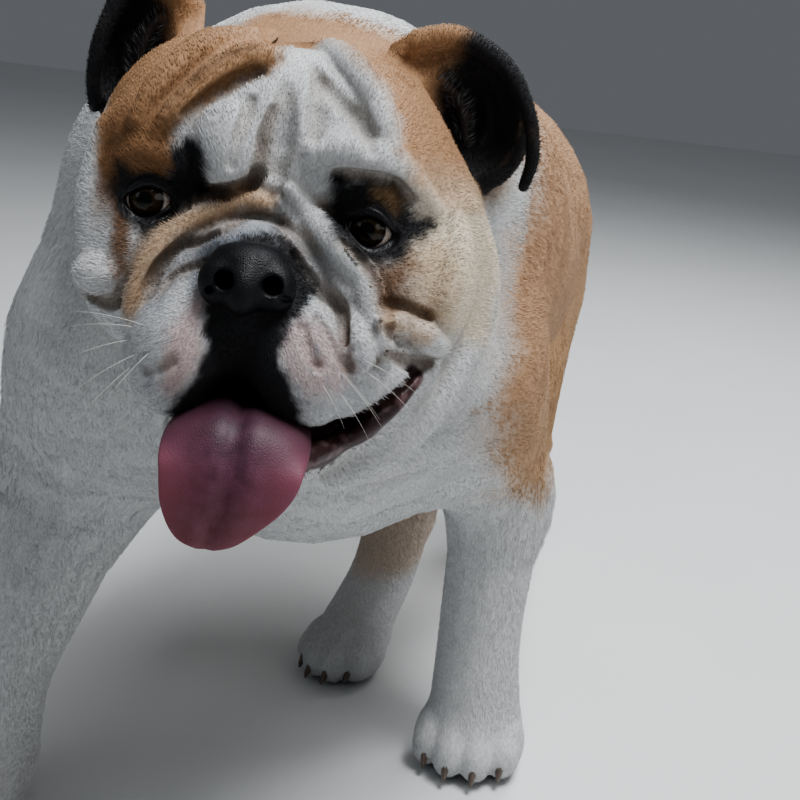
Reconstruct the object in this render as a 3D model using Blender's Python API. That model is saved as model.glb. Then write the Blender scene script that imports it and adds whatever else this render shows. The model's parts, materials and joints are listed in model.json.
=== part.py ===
"""A walking english bulldog, life size, built as clay: masses are laid into a distance field,
folds are laid over them and creases pressed in, and the surface is then cut into its named parts.

Metres, +Z up. The dog faces -Y, its left side is at +X, and its soles stand on z = 0.
Sizes inside the functions are millimetres, because a Frame turns them into metres.
"""

import itertools
import math

import bmesh
import bpy
import numpy as np
import openvdb
from mathutils import Matrix, Vector

MM = 0.001
GAP = 0.0003
FAR = 0.05

# Driving places of the pose, in millimetres from the left forepaw's line on the ground
EYE_LINE = (18, -191, 356)
HEAD_YAW = 16
HEAD_PITCH = -8
HEAD_ROLL = 2.6
EYE_SPACING = 98
EYE_RADIUS = 12.2
SHOULDER_HEIGHT = 330
CHEST_HALF = 129
RUMP_HEIGHT = 294
LEFT_FOREPAW = (105, -6)
RIGHT_FOREPAW = (-143, -163)
LEFT_HINDPAW = (50, 335)
RIGHT_HINDPAW = (-2, 74)

# Each paw: where its toes point, and half its width; the toes are spread over that width
PAWS = {
    "forepaw_left": (LEFT_FOREPAW, 4, 34),
    "forepaw_right": (RIGHT_FOREPAW, -10, 35),
    "hindpaw_left": (LEFT_HINDPAW, 6, 29),
    "hindpaw_right": (RIGHT_HINDPAW, -14, 29),
}
TOES = (-1, -0.36, 0.36, 1)

# Fineness of the clay and of the finished solids
HEAD_STEP = 2.2 * MM
BODY_STEP = 3.4 * MM
SMALL_STEP = 1.5 * MM
HEAD_TRIANGLES = 5500
BODY_TRIANGLES = 4700
NOSE_TRIANGLES = 560
EAR_TRIANGLES = 600
CLAW_SIDES = 6
# A claw from root to tip: how far ahead of its toe's nail bed, height, radius and lean in radians
CLAW = [(-8, 18, 4, 0.1), (0, 16.5, 4, 0.4), (5, 13, 3.4, 0.8), (9, 8.5, 2.2, 1.1), (10.5, 6, 0.8, 1.3)]

FAWN = (0.46, 0.24, 0.11)
CREAM = (0.78, 0.72, 0.66)
BLACK = (0.02, 0.02, 0.022)
PINK = (0.62, 0.24, 0.27)
AMBER = (0.07, 0.035, 0.015)


def turned(rx=0, ry=0, rz=0):
    """The matrix of turns in degrees about X, then Y, then Z."""
    a, b, c = (math.radians(angle) for angle in (rx, ry, rz))
    about_x = np.array([[1, 0, 0], [0, math.cos(a), -math.sin(a)], [0, math.sin(a), math.cos(a)]])
    about_y = np.array([[math.cos(b), 0, math.sin(b)], [0, 1, 0], [-math.sin(b), 0, math.cos(b)]])
    about_z = np.array([[math.cos(c), -math.sin(c), 0], [math.sin(c), math.cos(c), 0], [0, 0, 1]])
    return about_z @ about_y @ about_x


class Frame:
    """A local frame in millimetres; point() gives metres in the world."""

    def __init__(self, origin=(0, 0, 0), turn=None):
        self.origin = np.array(origin, float) * MM
        self.turn = np.eye(3) if turn is None else turn

    def point(self, place):
        return self.origin + self.turn @ (np.array(place, float) * MM)


WORLD = Frame()
HEAD = Frame(EYE_LINE, turned(0, 0, HEAD_YAW) @ turned(HEAD_PITCH) @ turned(0, HEAD_ROLL))


class Ball:
    """An ellipsoid mass."""

    def __init__(self, centre, radii, turn=(0, 0, 0), frame=WORLD):
        self.centre = frame.point(centre)
        self.radii = np.array(radii, float) * MM
        self.axes = frame.turn @ turned(*turn)
        reach = np.sqrt(((self.axes * self.radii) ** 2).sum(1))
        self.low = self.centre - reach
        self.high = self.centre + reach

    def distance(self, x, y, z):
        offset = (x - self.centre[0], y - self.centre[1], z - self.centre[2])
        near = 0
        steep = 1e-12
        for axis in range(3):
            along = sum(offset[i] * self.axes[i, axis] for i in range(3)) / self.radii[axis]
            near = near + along * along
            steep = steep + (along / self.radii[axis]) ** 2
        near = np.sqrt(near)
        return near * (near - 1) / np.sqrt(steep)


def smooth_path(points, values, per):
    """A Catmull-Rom curve through the points, with a value carried along."""
    rows = np.column_stack([points, values])
    rows = np.vstack([2 * rows[0] - rows[1], rows, 2 * rows[-1] - rows[-2]])
    out = []
    for a, b, c, d in zip(rows, rows[1:], rows[2:], rows[3:]):
        for t in np.arange(per) / per:
            bend = (2 * a - 5 * b + 4 * c - d) * t**2 + (3 * b - a - 3 * c + d) * t**3
            out.append(0.5 * (2 * b + (c - a) * t + bend))
    out.append(rows[-2])
    out = np.array(out)
    return out[:, :3], np.maximum(out[:, 3], 0.01 * MM)


class Rope:
    """A round mass along a smooth line, its radius changing from point to point."""

    def __init__(self, points, radii, frame=WORLD, per=3):
        places = np.array([frame.point(point) for point in points])
        radii = np.broadcast_to(np.array(radii, float) * MM, len(points))
        self.line, self.radii = smooth_path(places, radii, per)
        self.low = self.line.min(0) - self.radii.max()
        self.high = self.line.max(0) + self.radii.max()

    def distance(self, x, y, z):
        nearest = None
        for a, b, start, end in zip(self.line, self.line[1:], self.radii, self.radii[1:]):
            run = b - a
            px, py, pz = x - a[0], y - a[1], z - a[2]
            t = np.clip((px * run[0] + py * run[1] + pz * run[2]) / (run @ run + 1e-12), 0, 1)
            reach = (px - t * run[0]) ** 2 + (py - t * run[1]) ** 2 + (pz - t * run[2]) ** 2
            here = np.sqrt(reach) - (start + t * (end - start))
            nearest = here if nearest is None else np.minimum(nearest, here)
        return nearest


def blended(first, second, soft):
    """The smaller of two distances, rounded where they meet."""
    if soft <= 0:
        return np.minimum(first, second)
    overlap = np.maximum(soft - np.abs(first - second), 0) / soft
    return np.minimum(first, second) - overlap**2 * soft / 4


class Clay:
    """A block of distances that masses are added to and creases pressed into."""

    def __init__(self, low, high, step):
        self.low = np.array(low, float) * MM
        self.step = step
        shape = np.ceil((np.array(high) * MM - self.low) / step).astype(int) + 1
        self.field = np.full(shape, FAR, np.float32)

    def window(self, mass, soft):
        reach = soft + 3 * self.step
        start = np.floor((mass.low - reach - self.low) / self.step).astype(int)
        stop = np.ceil((mass.high + reach - self.low) / self.step).astype(int) + 1
        start = np.clip(start, 0, self.field.shape)
        stop = np.clip(stop, start, self.field.shape)
        part = tuple(slice(a, b) for a, b in zip(start, stop))
        axes = [np.arange(a, b) * self.step + low for a, b, low in zip(start, stop, self.low)]
        return part, np.meshgrid(*(axis.astype(np.float32) for axis in axes), indexing="ij", sparse=True)

    def add(self, mass, soft=0):
        part, places = self.window(mass, soft * MM)
        if self.field[part].size:
            self.field[part] = blended(self.field[part], mass.distance(*places), soft * MM)

    def press(self, mass, soft=0):
        part, places = self.window(mass, soft * MM)
        if self.field[part].size:
            self.field[part] = -blended(-self.field[part], mass.distance(*places), soft * MM)

    def at(self, place):
        index = np.rint((place - self.low) / self.step).astype(int)
        return self.field[tuple(np.clip(index, 0, np.array(self.field.shape) - 1))]

    def face_point(self, x, z, sink=0, frame=HEAD, start=-110, stop=60):
        """The first place on the face, met from the front at this x and z of the head."""
        for y in range(start, stop):
            if self.at(frame.point((x, y, z))) < 0:
                return (x, y + sink, z)
        return (x, stop, z)

    def mesh(self):
        grid = openvdb.FloatGrid()
        grid.copyFromArray(self.field)
        points, quads = grid.convertToQuads(0)
        return points.astype(float) * self.step + self.low, quads


def on_face(clay, line, sink=0):
    return [clay.face_point(x, z, sink) for x, z in line]


def both(clay, method, make, soft):
    """Lays a mass of the head and its mirror image, make(side) giving each."""
    for side in (-1, 1):
        getattr(clay, method)(make(side), soft)


def head_masses(clay):
    """The skull, cheeks and muzzle as plain forms; the left cheek is drawn wide by the open mouth."""
    clay.add(Ball((0, 62, 22), (76, 76, 56), frame=HEAD))
    both(clay, "add", lambda s: Ball((s * 38, 56, 38), (42, 50, 40), frame=HEAD), 14)
    clay.add(Ball((0, 22, 36), (60, 36, 36), frame=HEAD), 16)
    clay.add(Ball((62, 48, -10), (43, 52, 56), frame=HEAD), 22)
    clay.add(Ball((-50, 46, -8), (38, 52, 54), frame=HEAD), 22)
    clay.add(Ball((60, 14, -30), (36, 32, 40), frame=HEAD), 18)
    clay.add(Ball((-48, 14, -30), (32, 32, 38), frame=HEAD), 18)
    both(clay, "add", lambda s: Ball((s * 44, 10, 26), (28, 22, 20), frame=HEAD), 14)
    clay.add(Ball((0, 6, -42), (56, 50, 40), frame=HEAD), 14)
    clay.add(Ball((2, -26, -38), (28, 24, 26), frame=HEAD), 10)


def flews(clay):
    """The cushions of the upper lip, which hang lowest beside the tongue."""
    clay.add(Ball((-24, -32, -60), (25, 25, 26), frame=HEAD), 10)
    clay.add(Ball((27, -32, -60), (25, 25, 27), frame=HEAD), 10)
    clay.add(Ball((50, -14, -60), (27, 25, 23), (0, 12, 0), frame=HEAD), 10)
    clay.add(Ball((68, 4, -58), (20, 22, 14), (0, 24, 0), frame=HEAD), 10)
    clay.press(Rope([(1, -62, -34), (1, -60, -50), (0, -56, -64)], [1, 2, 5], HEAD), 5)
    clay.press(Ball((1, -52, -82), (13, 22, 15), frame=HEAD), 5)


def jaw_masses(clay):
    """The lower jaw, wide and turned up in front."""
    clay.add(Ball((9, -14, -98), (40, 40, 19), frame=HEAD), 6)
    clay.add(Ball((52, 14, -84), (32, 30, 24), (0, -28, 0), frame=HEAD), 10)
    clay.add(Ball((8, 36, -88), (54, 46, 32), frame=HEAD), 16)


def mouth(clay):
    """The open mouth, which the tongue fills."""
    clay.press(Ball((2, -44, -80), (31, 30, 9), frame=HEAD), 3)
    clay.press(Rope([(30, -46, -88), (50, -34, -90), (70, -16, -76), (80, -4, -64)], [4, 4, 3.5, 2], HEAD), 3)


# Folds of the face as (x, z) of the head, seen from the front: over the nose, forehead and brows
ROPE_LEFT = [(1, 4), (-11, 2), (-21, -3), (-31, -11), (-39, -22), (-45, -36), (-47, -52)]
ROPE_RIGHT = [(1, 4), (12, 2), (23, -5), (35, -16), (45, -29), (54, -43), (61, -58)]
ROPE_INNER = [(26, -18), (36, -31), (43, -45), (48, -58)]
RIDGE_RIGHT = [(11, 78), (26, 74), (38, 64), (50, 50), (55, 40)]
ROLL_UPPER = [(-10, 78), (-31, 74), (-53, 59), (-68, 41), (-74, 27)]
ROLL_LOWER = [(2, 72), (-19, 61), (-31, 46), (-45, 34), (-54, 22)]
BROW_RIGHT = [(29, 18), (48, 24), (64, 20), (78, 10)]
BROW_LEFT = [(-34, 14), (-50, 20), (-66, 12)]
LOBE_CREASE = [(-8, 49), (-5, 32), (-7, 18), (-17, 8), (-30, 3)]
LOBE_FURROW = [(-13, 47), (-17, 34), (-22, 22)]
CENTRE_FURROW = [(1, 60), (2, 40), (4, 18), (8, 6)]
SIDE_FURROW = [(20, 62), (22, 44)]
LEFT_GROOVE = [(-30, 2), (-48, -14), (-57, -30), (-54, -50)]


def fold(clay, line, radii, sink, soft):
    clay.add(Rope(on_face(clay, line, sink), radii, HEAD), soft)


def crease(clay, line, radii, sink=0, soft=3):
    clay.press(Rope(on_face(clay, line, sink), radii, HEAD), soft)


def face_folds(clay):
    """Loose skin: ropes over the nose, rolls of the forehead, cheek rolls, and the creases between."""
    fold(clay, ROLL_UPPER, [4, 7, 8, 8, 5], 0, 4)
    fold(clay, ROLL_LOWER, [4, 7, 7, 7, 5], 0, 4)
    fold(clay, RIDGE_RIGHT, [6, 7, 6.5, 6, 3], -1, 4)
    clay.add(Ball(clay.face_point(-21, 27, 2), (16, 11, 19), (0, -12, 0), frame=HEAD), 5)
    fold(clay, BROW_RIGHT, [5, 7, 7, 4], 3, 7)
    fold(clay, BROW_LEFT, [5, 7, 5], 3, 7)
    crease(clay, LOBE_CREASE, [1.5, 2, 2.4, 2.6, 2])
    crease(clay, LOBE_FURROW, 1.4)
    crease(clay, CENTRE_FURROW, [1.5, 2.4, 2.6, 2])
    crease(clay, SIDE_FURROW, 2)
    crease(clay, LEFT_GROOVE, [2, 4, 5, 4], 0, 6)
    fold(clay, ROPE_LEFT, [5, 6.5, 7.5, 8, 8, 8, 5], 0, 3)
    fold(clay, ROPE_RIGHT, [5, 6.5, 8, 8.5, 9, 9, 6], 0, 3)
    fold(clay, ROPE_INNER, [4, 5, 6, 5], -1, 3)
    clay.add(Rope([(58, -24, -38), (69, -20, -43), (81, -10, -48), (90, 4, -51)], [4, 6, 7.5, 7], HEAD), 4)
    clay.add(Rope([(92, 22, 6), (101, 34, -18), (101, 34, -40), (92, 26, -60)], [8, 9, 9, 7], HEAD), 10)
    clay.add(Ball((-69, -6, -38), (14, 13, 13), frame=HEAD), 5)
    clay.add(Rope([(-76, 14, 26), (-80, 4, 0), (-76, 0, -24)], [9, 9, 8], HEAD), 10)


def eye_place(side):
    return (side * EYE_SPACING / 2, 0, 0)


def lid_line(side, height):
    """An arc over the eyeball, from corner to corner."""
    line = []
    for share in np.linspace(-1, 1, 7):
        x = share * 13
        z = height * math.cos(share * math.pi / 2) - share * side * 1.5
        y = -math.sqrt(max((EYE_RADIUS + 1.5) ** 2 - x * x - z * z, 6))
        line.append((side * EYE_SPACING / 2 + x, y, z))
    return line


def eye_sockets(clay):
    for side in (-1, 1):
        clay.add(Ball((side * 49, 4, -1), (24, 13, 19), frame=HEAD), 8)
        clay.press(Ball(eye_place(side), (EYE_RADIUS + 0.6,) * 3, frame=HEAD), 1)
        clay.press(Ball((side * 49, -14, 0), (12.5, 9, 8.5), frame=HEAD), 2)
        clay.add(Rope(lid_line(side, 9.4), [1.8, 2.2, 2.6, 2.8, 2.6, 2.2, 1.8], HEAD), 1.5)
        clay.add(Rope(lid_line(side, -9), [1.8, 2, 2.2, 2.3, 2.2, 2, 1.8], HEAD), 1.5)


def nose_masses(clay):
    """The leather: a broad pad laid back towards the stop, with wings round the nostrils."""
    clay.add(Ball((2, -42, -24), (21, 17, 20), frame=HEAD))
    clay.add(Ball((2, -40, -12), (16, 14, 10), frame=HEAD), 8)
    for side in (-1, 1):
        clay.add(Ball((2 + side * 13, -48, -27), (9.5, 10, 10.5), frame=HEAD), 5)
    clay.add(Ball((2, -50, -30), (8, 10, 12), frame=HEAD), 4)
    for side in (-1, 1):
        line = [(2 + side * 7, -62, -30), (2 + side * 10, -58, -27), (2 + side * 18, -55, -22)]
        clay.press(Rope(line, [3.4, 3.8, 1.6], HEAD), 2)
    clay.press(Rope([(2, -62, -22), (2, -62, -42)], [1, 1.6], HEAD), 2)


def ear_masses(clay, side, spread, lift):
    """A rose ear: a cup that opens forward, with its rim folded over and its tip hanging."""
    def at(x, y, z):
        return (side * (56 + spread * (x - 56)), y, z + lift)

    clay.add(Ball(at(88, 68, 58), (32 * (0.4 + 0.6 * spread), 15, 38), (0, side * -14, 0), frame=HEAD))
    clay.add(Rope([at(56, 70, 80), at(66, 72, 62), at(80, 72, 36)], [12, 13, 10], HEAD), 8)
    clay.press(Ball(at(90, 52, 58), (25 * (0.4 + 0.6 * spread), 15, 31), (0, side * -14, 0), frame=HEAD), 3)
    rim = [at(58, 60, 88), at(78, 56, 93), at(102, 54, 82), at(116, 52, 62), at(121, 54, 42), at(119, 58, 28)]
    clay.add(Rope(rim, [7, 6, 5, 4, 3.6, 3], HEAD), 4)


def neck_masses(clay):
    """The thick neck that the head and the body share."""
    clay.add(Rope([(-4, -75, 352), (-6, -30, 340), (-6, 20, 320)], [84, 100, 112]), 30)
    clay.add(Ball((-6, -56, 382), (84, 66, 59)), 30)
    clay.add(Rope([(0, -120, 285), (-4, -80, 240)], [50, 62]), 40)


def body_masses(clay):
    """The barrel, chest, loin and rump."""
    clay.add(Ball((-4, 62, 296), (CHEST_HALF, 150, 110)))
    clay.add(Ball((-6, -48, 245), (108, 92, 98)), 40)
    clay.add(Ball((-2, 188, 298), (102, 112, 99)), 40)
    clay.add(Ball((0, 270, RUMP_HEIGHT), (94, 82, 98)), 40)


def leg(clay, line, radii, soft=30):
    clay.add(Rope(line, radii), soft)


def paw(clay, place, heading, half_width):
    """Four toes and a heel, standing on the ground and pointing where the leg does."""
    frame = Frame((place[0], place[1], 0), turned(0, 0, heading))
    clay.add(Ball((0, 2, 20), (half_width * 0.86, 30, 22), frame=frame), 10)
    for share in TOES:
        inner = abs(share) < 0.5
        side = share * (half_width - 12)
        front = -30 if inner else -20
        clay.add(Ball((side, front + 12, 17), (12.5, 20, 17), (14, 0, share * -8), frame=frame), 4)


def claw_rings(place, heading, share, half_width):
    """One claw, curving down from the end of its toe, as rings of points in the world."""
    frame = Frame((place[0], place[1], 0), turned(0, 0, heading + share * -8))
    side = share * (half_width - 12)
    front = -26 if abs(share) < 0.5 else -17
    rings = []
    for ahead, z, radius, lean in CLAW:
        x, y = side, front - ahead
        ring = []
        for turn in np.arange(CLAW_SIDES) * 2 * math.pi / CLAW_SIDES:
            across, up = radius * 0.8 * math.cos(turn), radius * math.sin(turn)
            ring.append(frame.point((x + across, y - up * math.sin(lean), z + up * math.cos(lean))))
        rings.append(ring)
    return rings


def forelegs(clay):
    x, y = LEFT_FOREPAW
    clay.add(Ball((x - 27, -22, SHOULDER_HEIGHT), (46, 72, 84), (18, 0, 0)), 36)
    leg(clay, [(x - 24, -66, 262), (x - 10, -12, 205), (x - 2, 12, 165)], [54, 37, 30])
    leg(clay, [(x - 1, 12, 175), (x - 3, 6, 120), (x - 3, 2, 72), (x, y + 4, 30)], [31, 27, 26, 29], 16)
    clay.add(Ball((x - 2, 38, 178), (15, 18, 22)), 14)
    paw(clay, *PAWS["forepaw_left"])
    x, y = RIGHT_FOREPAW
    clay.add(Ball((-98, -50, SHOULDER_HEIGHT - 8), (54, 72, 84), (18, 0, 0)), 36)
    leg(clay, [(-100, -88, 255), (-118, -76, 205), (-128, -78, 165)], [64, 57, 45])
    leg(clay, [(-128, -76, 178), (-136, -108, 122), (x, y + 22, 74), (x, y + 6, 32)], [43, 36, 31, 31], 16)
    clay.add(Ball((-124, -44, 186), (16, 20, 22)), 14)
    paw(clay, *PAWS["forepaw_right"])


def hind_legs(clay):
    x, y = LEFT_HINDPAW
    clay.add(Ball((52, 270, 262), (42, 66, 72), (12, 0, 0)), 34)
    leg(clay, [(54, 258, 232), (60, 236, 180), (58, 290, 128), (x + 4, y + 22, 92)], [46, 40, 31, 24], 24)
    leg(clay, [(x + 4, y + 20, 94), (x + 1, y + 12, 50), (x, y + 4, 24)], [24, 22, 24], 12)
    paw(clay, *PAWS["hindpaw_left"])
    x, y = RIGHT_HINDPAW
    clay.add(Ball((-60, 258, 262), (46, 70, 72), (6, 0, 0)), 34)
    leg(clay, [(-66, 242, 232), (-64, 204, 180), (-28, 188, 130), (2, 168, 86)], [56, 48, 34, 25], 24)
    leg(clay, [(2, 168, 86), (4, 128, 54), (x, y + 20, 26)], [25, 23, 24], 12)
    paw(clay, *PAWS["hindpaw_right"])


def tail_masses(clay):
    clay.add(Rope([(0, 320, 336), (2, 356, 322), (5, 376, 298), (6, 382, 276)], [21, 16, 11, 6]), 8)


def to_object(name, points, faces, colour, roughness=0.6):
    mesh = bpy.data.meshes.new(name)
    mesh.from_pydata([tuple(p) for p in points], [], [tuple(int(i) for i in f) for f in faces])
    mesh.validate()
    obj = bpy.data.objects.new(name, mesh)
    bpy.context.scene.collection.objects.link(obj)
    mesh.materials.append(finish(name, colour, roughness))
    return obj


def finish(name, colour, roughness):
    material = bpy.data.materials.new(name)
    material.use_nodes = True
    shader = material.node_tree.nodes["Principled BSDF"]
    shader.inputs["Base Color"].default_value = (*colour, 1)
    shader.inputs["Roughness"].default_value = roughness
    shader.inputs["Metallic"].default_value = 0
    return material


def applied(obj):
    """Bakes the object's modifiers into its mesh."""
    graph = bpy.context.evaluated_depsgraph_get()
    mesh = bpy.data.meshes.new_from_object(obj.evaluated_get(graph))
    obj.modifiers.clear()
    obj.data = mesh
    return obj


def thinned(obj, triangles):
    """Fewer triangles, kept even, with the closed surface that is largest."""
    modifier = obj.modifiers.new("fewer", "DECIMATE")
    obj.data.calc_loop_triangles()
    modifier.ratio = min(1, triangles / len(obj.data.loop_triangles))
    modifier.use_collapse_triangulate = True
    return largest(applied(obj))


def islands(mesh):
    """The separate closed surfaces of a bmesh, largest first, as lists of faces."""
    mesh.faces.ensure_lookup_table()
    seen = set()
    found = []
    for face in mesh.faces:
        if face in seen:
            continue
        seen.add(face)
        group = [face]
        for here in group:
            for edge in here.edges:
                for other in edge.link_faces:
                    if other not in seen:
                        seen.add(other)
                        group.append(other)
        found.append(group)
    return sorted(found, key=len, reverse=True)


def largest(obj):
    mesh = bmesh.new()
    mesh.from_mesh(obj.data)
    for group in islands(mesh)[1:]:
        bmesh.ops.delete(mesh, geom=group, context="FACES")
    bmesh.ops.delete(mesh, geom=[v for v in mesh.verts if not v.link_faces], context="VERTS")
    mesh.to_mesh(obj.data)
    mesh.free()
    return obj


def cut(obj, cutters, operation="DIFFERENCE"):
    """One Boolean with all the cutters, which are then removed."""
    group = bpy.data.collections.new("cutters")
    for cutter in cutters:
        group.objects.link(cutter)
    modifier = obj.modifiers.new("cut", "BOOLEAN")
    modifier.operation = operation
    modifier.operand_type = "COLLECTION"
    modifier.collection = group
    modifier.solver = "EXACT"
    applied(obj)
    for cutter in cutters:
        bpy.data.objects.remove(cutter)
    bpy.data.collections.remove(group)
    return obj


def slab(centre, normal, half_size, frame=WORLD):
    """A plate as thick as the gap between two parts, square to the normal."""
    bpy.ops.mesh.primitive_cube_add(size=1)
    plate = bpy.context.object
    place = Vector(frame.point(centre))
    direction = Vector(frame.turn @ np.array(normal, float)).normalized()
    turn = direction.to_track_quat("Z", "Y").to_matrix().to_4x4()
    plate.data.transform(turn @ scaling(2 * half_size * MM, 2 * half_size * MM, GAP))
    plate.data.transform(translation(place))
    return plate


def scaling(x, y, z):
    return Matrix.Diagonal((x, y, z, 1))


def translation(place):
    return Matrix.Translation(place)


def swollen(obj, amount=GAP):
    """A copy of a solid pushed out along its normals, to cut a seat that clears it."""
    copy = obj.copy()
    copy.data = obj.data.copy()
    bpy.context.scene.collection.objects.link(copy)
    points = np.empty(len(copy.data.vertices) * 3)
    copy.data.vertices.foreach_get("co", points)
    normals = np.empty_like(points)
    copy.data.vertex_normals.foreach_get("vector", normals)
    copy.data.vertices.foreach_set("co", points + amount * normals)
    return copy


def add_claws(name, place, heading, half_width):
    """Joins four claws to a paw."""
    claws = [lofted("claw", claw_rings(place, heading, share, half_width)) for share in TOES]
    largest(cut(bpy.data.objects[name], claws, "UNION"))


def split(obj, names):
    """Parts the object at its gaps; names maps each part's name to a place inside it."""
    mesh = bmesh.new()
    mesh.from_mesh(obj.data)
    bmesh.ops.triangulate(mesh, faces=mesh.faces)
    groups = islands(mesh)
    boxes = []
    for group in groups:
        points = np.array([v.co for face in group for v in face.verts])
        boxes.append((points.min(0), points.max(0)))
    for name, (place, colour) in names.items():
        place = np.array(place) * MM
        distances = [np.abs((low + high) / 2 - place).sum() for low, high in boxes]
        group = groups[int(np.argmin(distances))]
        corners = {v: i for i, v in enumerate({v: 0 for face in group for v in face.verts})}
        to_object(name, [v.co for v in corners], [[corners[v] for v in f.verts] for f in group], colour)
    mesh.free()
    bpy.data.objects.remove(obj)


def floor_block():
    bpy.ops.mesh.primitive_cube_add(size=1)
    block = bpy.context.object
    block.data.transform(translation((0, 0, -0.05)) @ scaling(1, 1, 0.1))
    return block


# Where each limb, the loin and the tail are parted: centre, square direction and half size
BODY_CUTS = [
    ((0, 150, 316), (0, 1, 0), 131),
    ((112, 12, 150), (0, 0, 1), 52),
    ((106, 2, 54), (0, 0, 1), 48),
    ((-129, -92, 152), (0.15, 0.52, 0.84), 54),
    ((-142, -146, 58), (0.05, 0.35, 0.94), 48),
    ((0, 268, 180), (0, 0, 1), 126),
    ((53, 352, 70), (0, 0.1, 1), 42),
    ((4, 143, 66), (-0.05, 0.75, 0.64), 42),
    ((2, 362, 322), (0, 1, -0.1), 32),
]
# A place near the middle of each part of the body, and its colour
BODY_PARTS = {
    "neck": ((-8, -75, 370), CREAM),
    "chest": ((-6, 20, 290), CREAM),
    "hindquarters": ((0, 250, 290), FAWN),
    "tail": ((4, 378, 302), FAWN),
    "foreleg_left": ((108, 10, 100), CREAM),
    "forepaw_left": ((105, -10, 25), CREAM),
    "foreleg_right": ((-136, -115, 105), CREAM),
    "forepaw_right": ((-143, -168, 28), CREAM),
    "hindleg_left": ((64, 280, 130), FAWN),
    "hindpaw_left": ((51, 340, 40), CREAM),
    "hindleg_right": ((-40, 190, 130), FAWN),
    "hindpaw_right": ((-2, 100, 38), CREAM),
}


def build_body():
    """The trunk, neck and legs as one piece, then parted."""
    clay = Clay((-230, -280, -24), (200, 400, 480), BODY_STEP)
    body_masses(clay)
    neck_masses(clay)
    forelegs(clay)
    hind_legs(clay)
    tail_masses(clay)
    head_masses(clay)
    jaw_masses(clay)
    body = thinned(to_object("body", *clay.mesh(), CREAM), BODY_TRIANGLES)
    walls = [sheet(HEAD_CUT, 200, HEAD), sheet(NECK_CUT, 200, WORLD)]
    cut(body, walls + [slab(*place) for place in BODY_CUTS] + [floor_block()])
    split(body, BODY_PARTS)
    for name, place in PAWS.items():
        add_claws(name, *place)


def stand_at_origin():
    """Moves the whole dog so that the middle of its box stands on the origin."""
    solids = [obj for obj in bpy.data.objects if obj.type == "MESH"]
    points = np.array([corner for obj in solids for corner in obj.bound_box])
    middle = (points.min(0) + points.max(0)) / 2
    for obj in solids:
        obj.data.transform(translation((-middle[0], -middle[1], 0)))


def clear_scene():
    for obj in list(bpy.data.objects):
        bpy.data.objects.remove(obj)


# The line of the mouth as (x, z) of the head: highest under the nose and at the corners
LIP_LINE = [
    (-110, -60), (-80, -62), (-60, -72), (-46, -87), (-36, -90), (-22, -87), (-12, -79), (-1, -66),
    (13, -75), (21, -80), (32, -86), (50, -86), (72, -73), (83, -60), (110, -52),
]
MOUTH_CUT = [(-110, 0), (-60, 0), (0, 2), (14, -4), (24, -30), (28, -60), (34, -110)]
# Profiles as (y, z): behind the skull in the head's frame, and before the shoulders in the world
HEAD_CUT = [(96, 190), (98, 60), (94, 0), (80, -50), (62, -85), (45, -108), (20, -124), (-80, -142)]
NECK_CUT = [(10, 500), (-8, 430), (-50, 380), (-92, 330), (-116, 290), (-130, 262), (-152, 240), (-260, 215)]
# The tongue from root to tip as (y, z, half width, half thickness) of the head
TONGUE_X = 6
TONGUE_SIDES = 16
TONGUE = [
    (20, -84, 22, 5), (-10, -83, 27, 6), (-38, -84, 30, 6.5), (-58, -89, 31, 6.5), (-66, -101, 31, 6),
    (-68, -114, 28, 5.5), (-67, -126, 21, 4.6), (-66, -133, 11, 3.4), (-65.5, -136.5, 4, 2),
]


def new_object(name, mesh):
    """The bmesh as an object of the scene."""
    data = bpy.data.meshes.new(name)
    mesh.to_mesh(data)
    mesh.free()
    obj = bpy.data.objects.new(name, data)
    bpy.context.scene.collection.objects.link(obj)
    return obj


def sheet(line, half_width, frame, rise=None):
    """A wall as thick as the gap: a line of (y, z) drawn out along x, raised by rise(x) if given."""
    mesh = bmesh.new()
    rows = []
    for x in np.linspace(-half_width, half_width, 49 if rise else 25):
        up = rise(x) if rise else 0
        rows.append([mesh.verts.new(frame.point((x, y, z + up))) for y, z in line])
    for first, second in zip(rows, rows[1:]):
        for i in range(len(line) - 1):
            mesh.faces.new((first[i], second[i], second[i + 1], first[i + 1]))
    wall = new_object("sheet", mesh)
    thickness = wall.modifiers.new("thickness", "SOLIDIFY")
    thickness.thickness = GAP
    thickness.offset = 0
    return applied(wall)


def mouth_sheet():
    """Along the line of the mouth, then down behind the jaw."""
    return sheet(MOUTH_CUT, 120, HEAD, lambda x: np.interp(x, *zip(*LIP_LINE)))


def lofted(name, rings):
    """A closed solid through rings of points, each ring with the same number of points."""
    mesh = bmesh.new()
    rings = [[mesh.verts.new(point) for point in ring] for ring in rings]
    for first, second in zip(rings, rings[1:]):
        for i in range(len(first)):
            mesh.faces.new((first[i], first[i - 1], second[i - 1], second[i]))
    mesh.faces.new(rings[0])
    mesh.faces.new(reversed(rings[-1]))
    bmesh.ops.triangulate(mesh, faces=mesh.faces)
    bmesh.ops.recalc_face_normals(mesh, faces=mesh.faces)
    return new_object(name, mesh)


def build_tongue():
    """A flat blade with a shallow groove, which lies over the lower lip and hangs."""
    places = np.array(TONGUE)
    rings = []
    for (y, z, half, thick), (dy, dz) in zip(places, np.gradient(places[:, :2], axis=0)):
        length = math.hypot(dy, dz)
        ring = []
        for turn in np.arange(TONGUE_SIDES) * 2 * math.pi / TONGUE_SIDES:
            across = half * math.cos(turn)
            up = thick * math.sin(turn) * (1 - 0.25 * math.cos(turn) ** 2)
            up -= 1.2 * math.exp(-((across / 4) ** 2)) * (math.sin(turn) > 0)
            ring.append(HEAD.point((TONGUE_X + across, y + up * dz / length, z - up * dy / length)))
        rings.append(ring)
    tongue = lofted("tongue", rings)
    tongue.data.materials.append(finish("tongue", PINK, 0.4))
    return tongue


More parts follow.
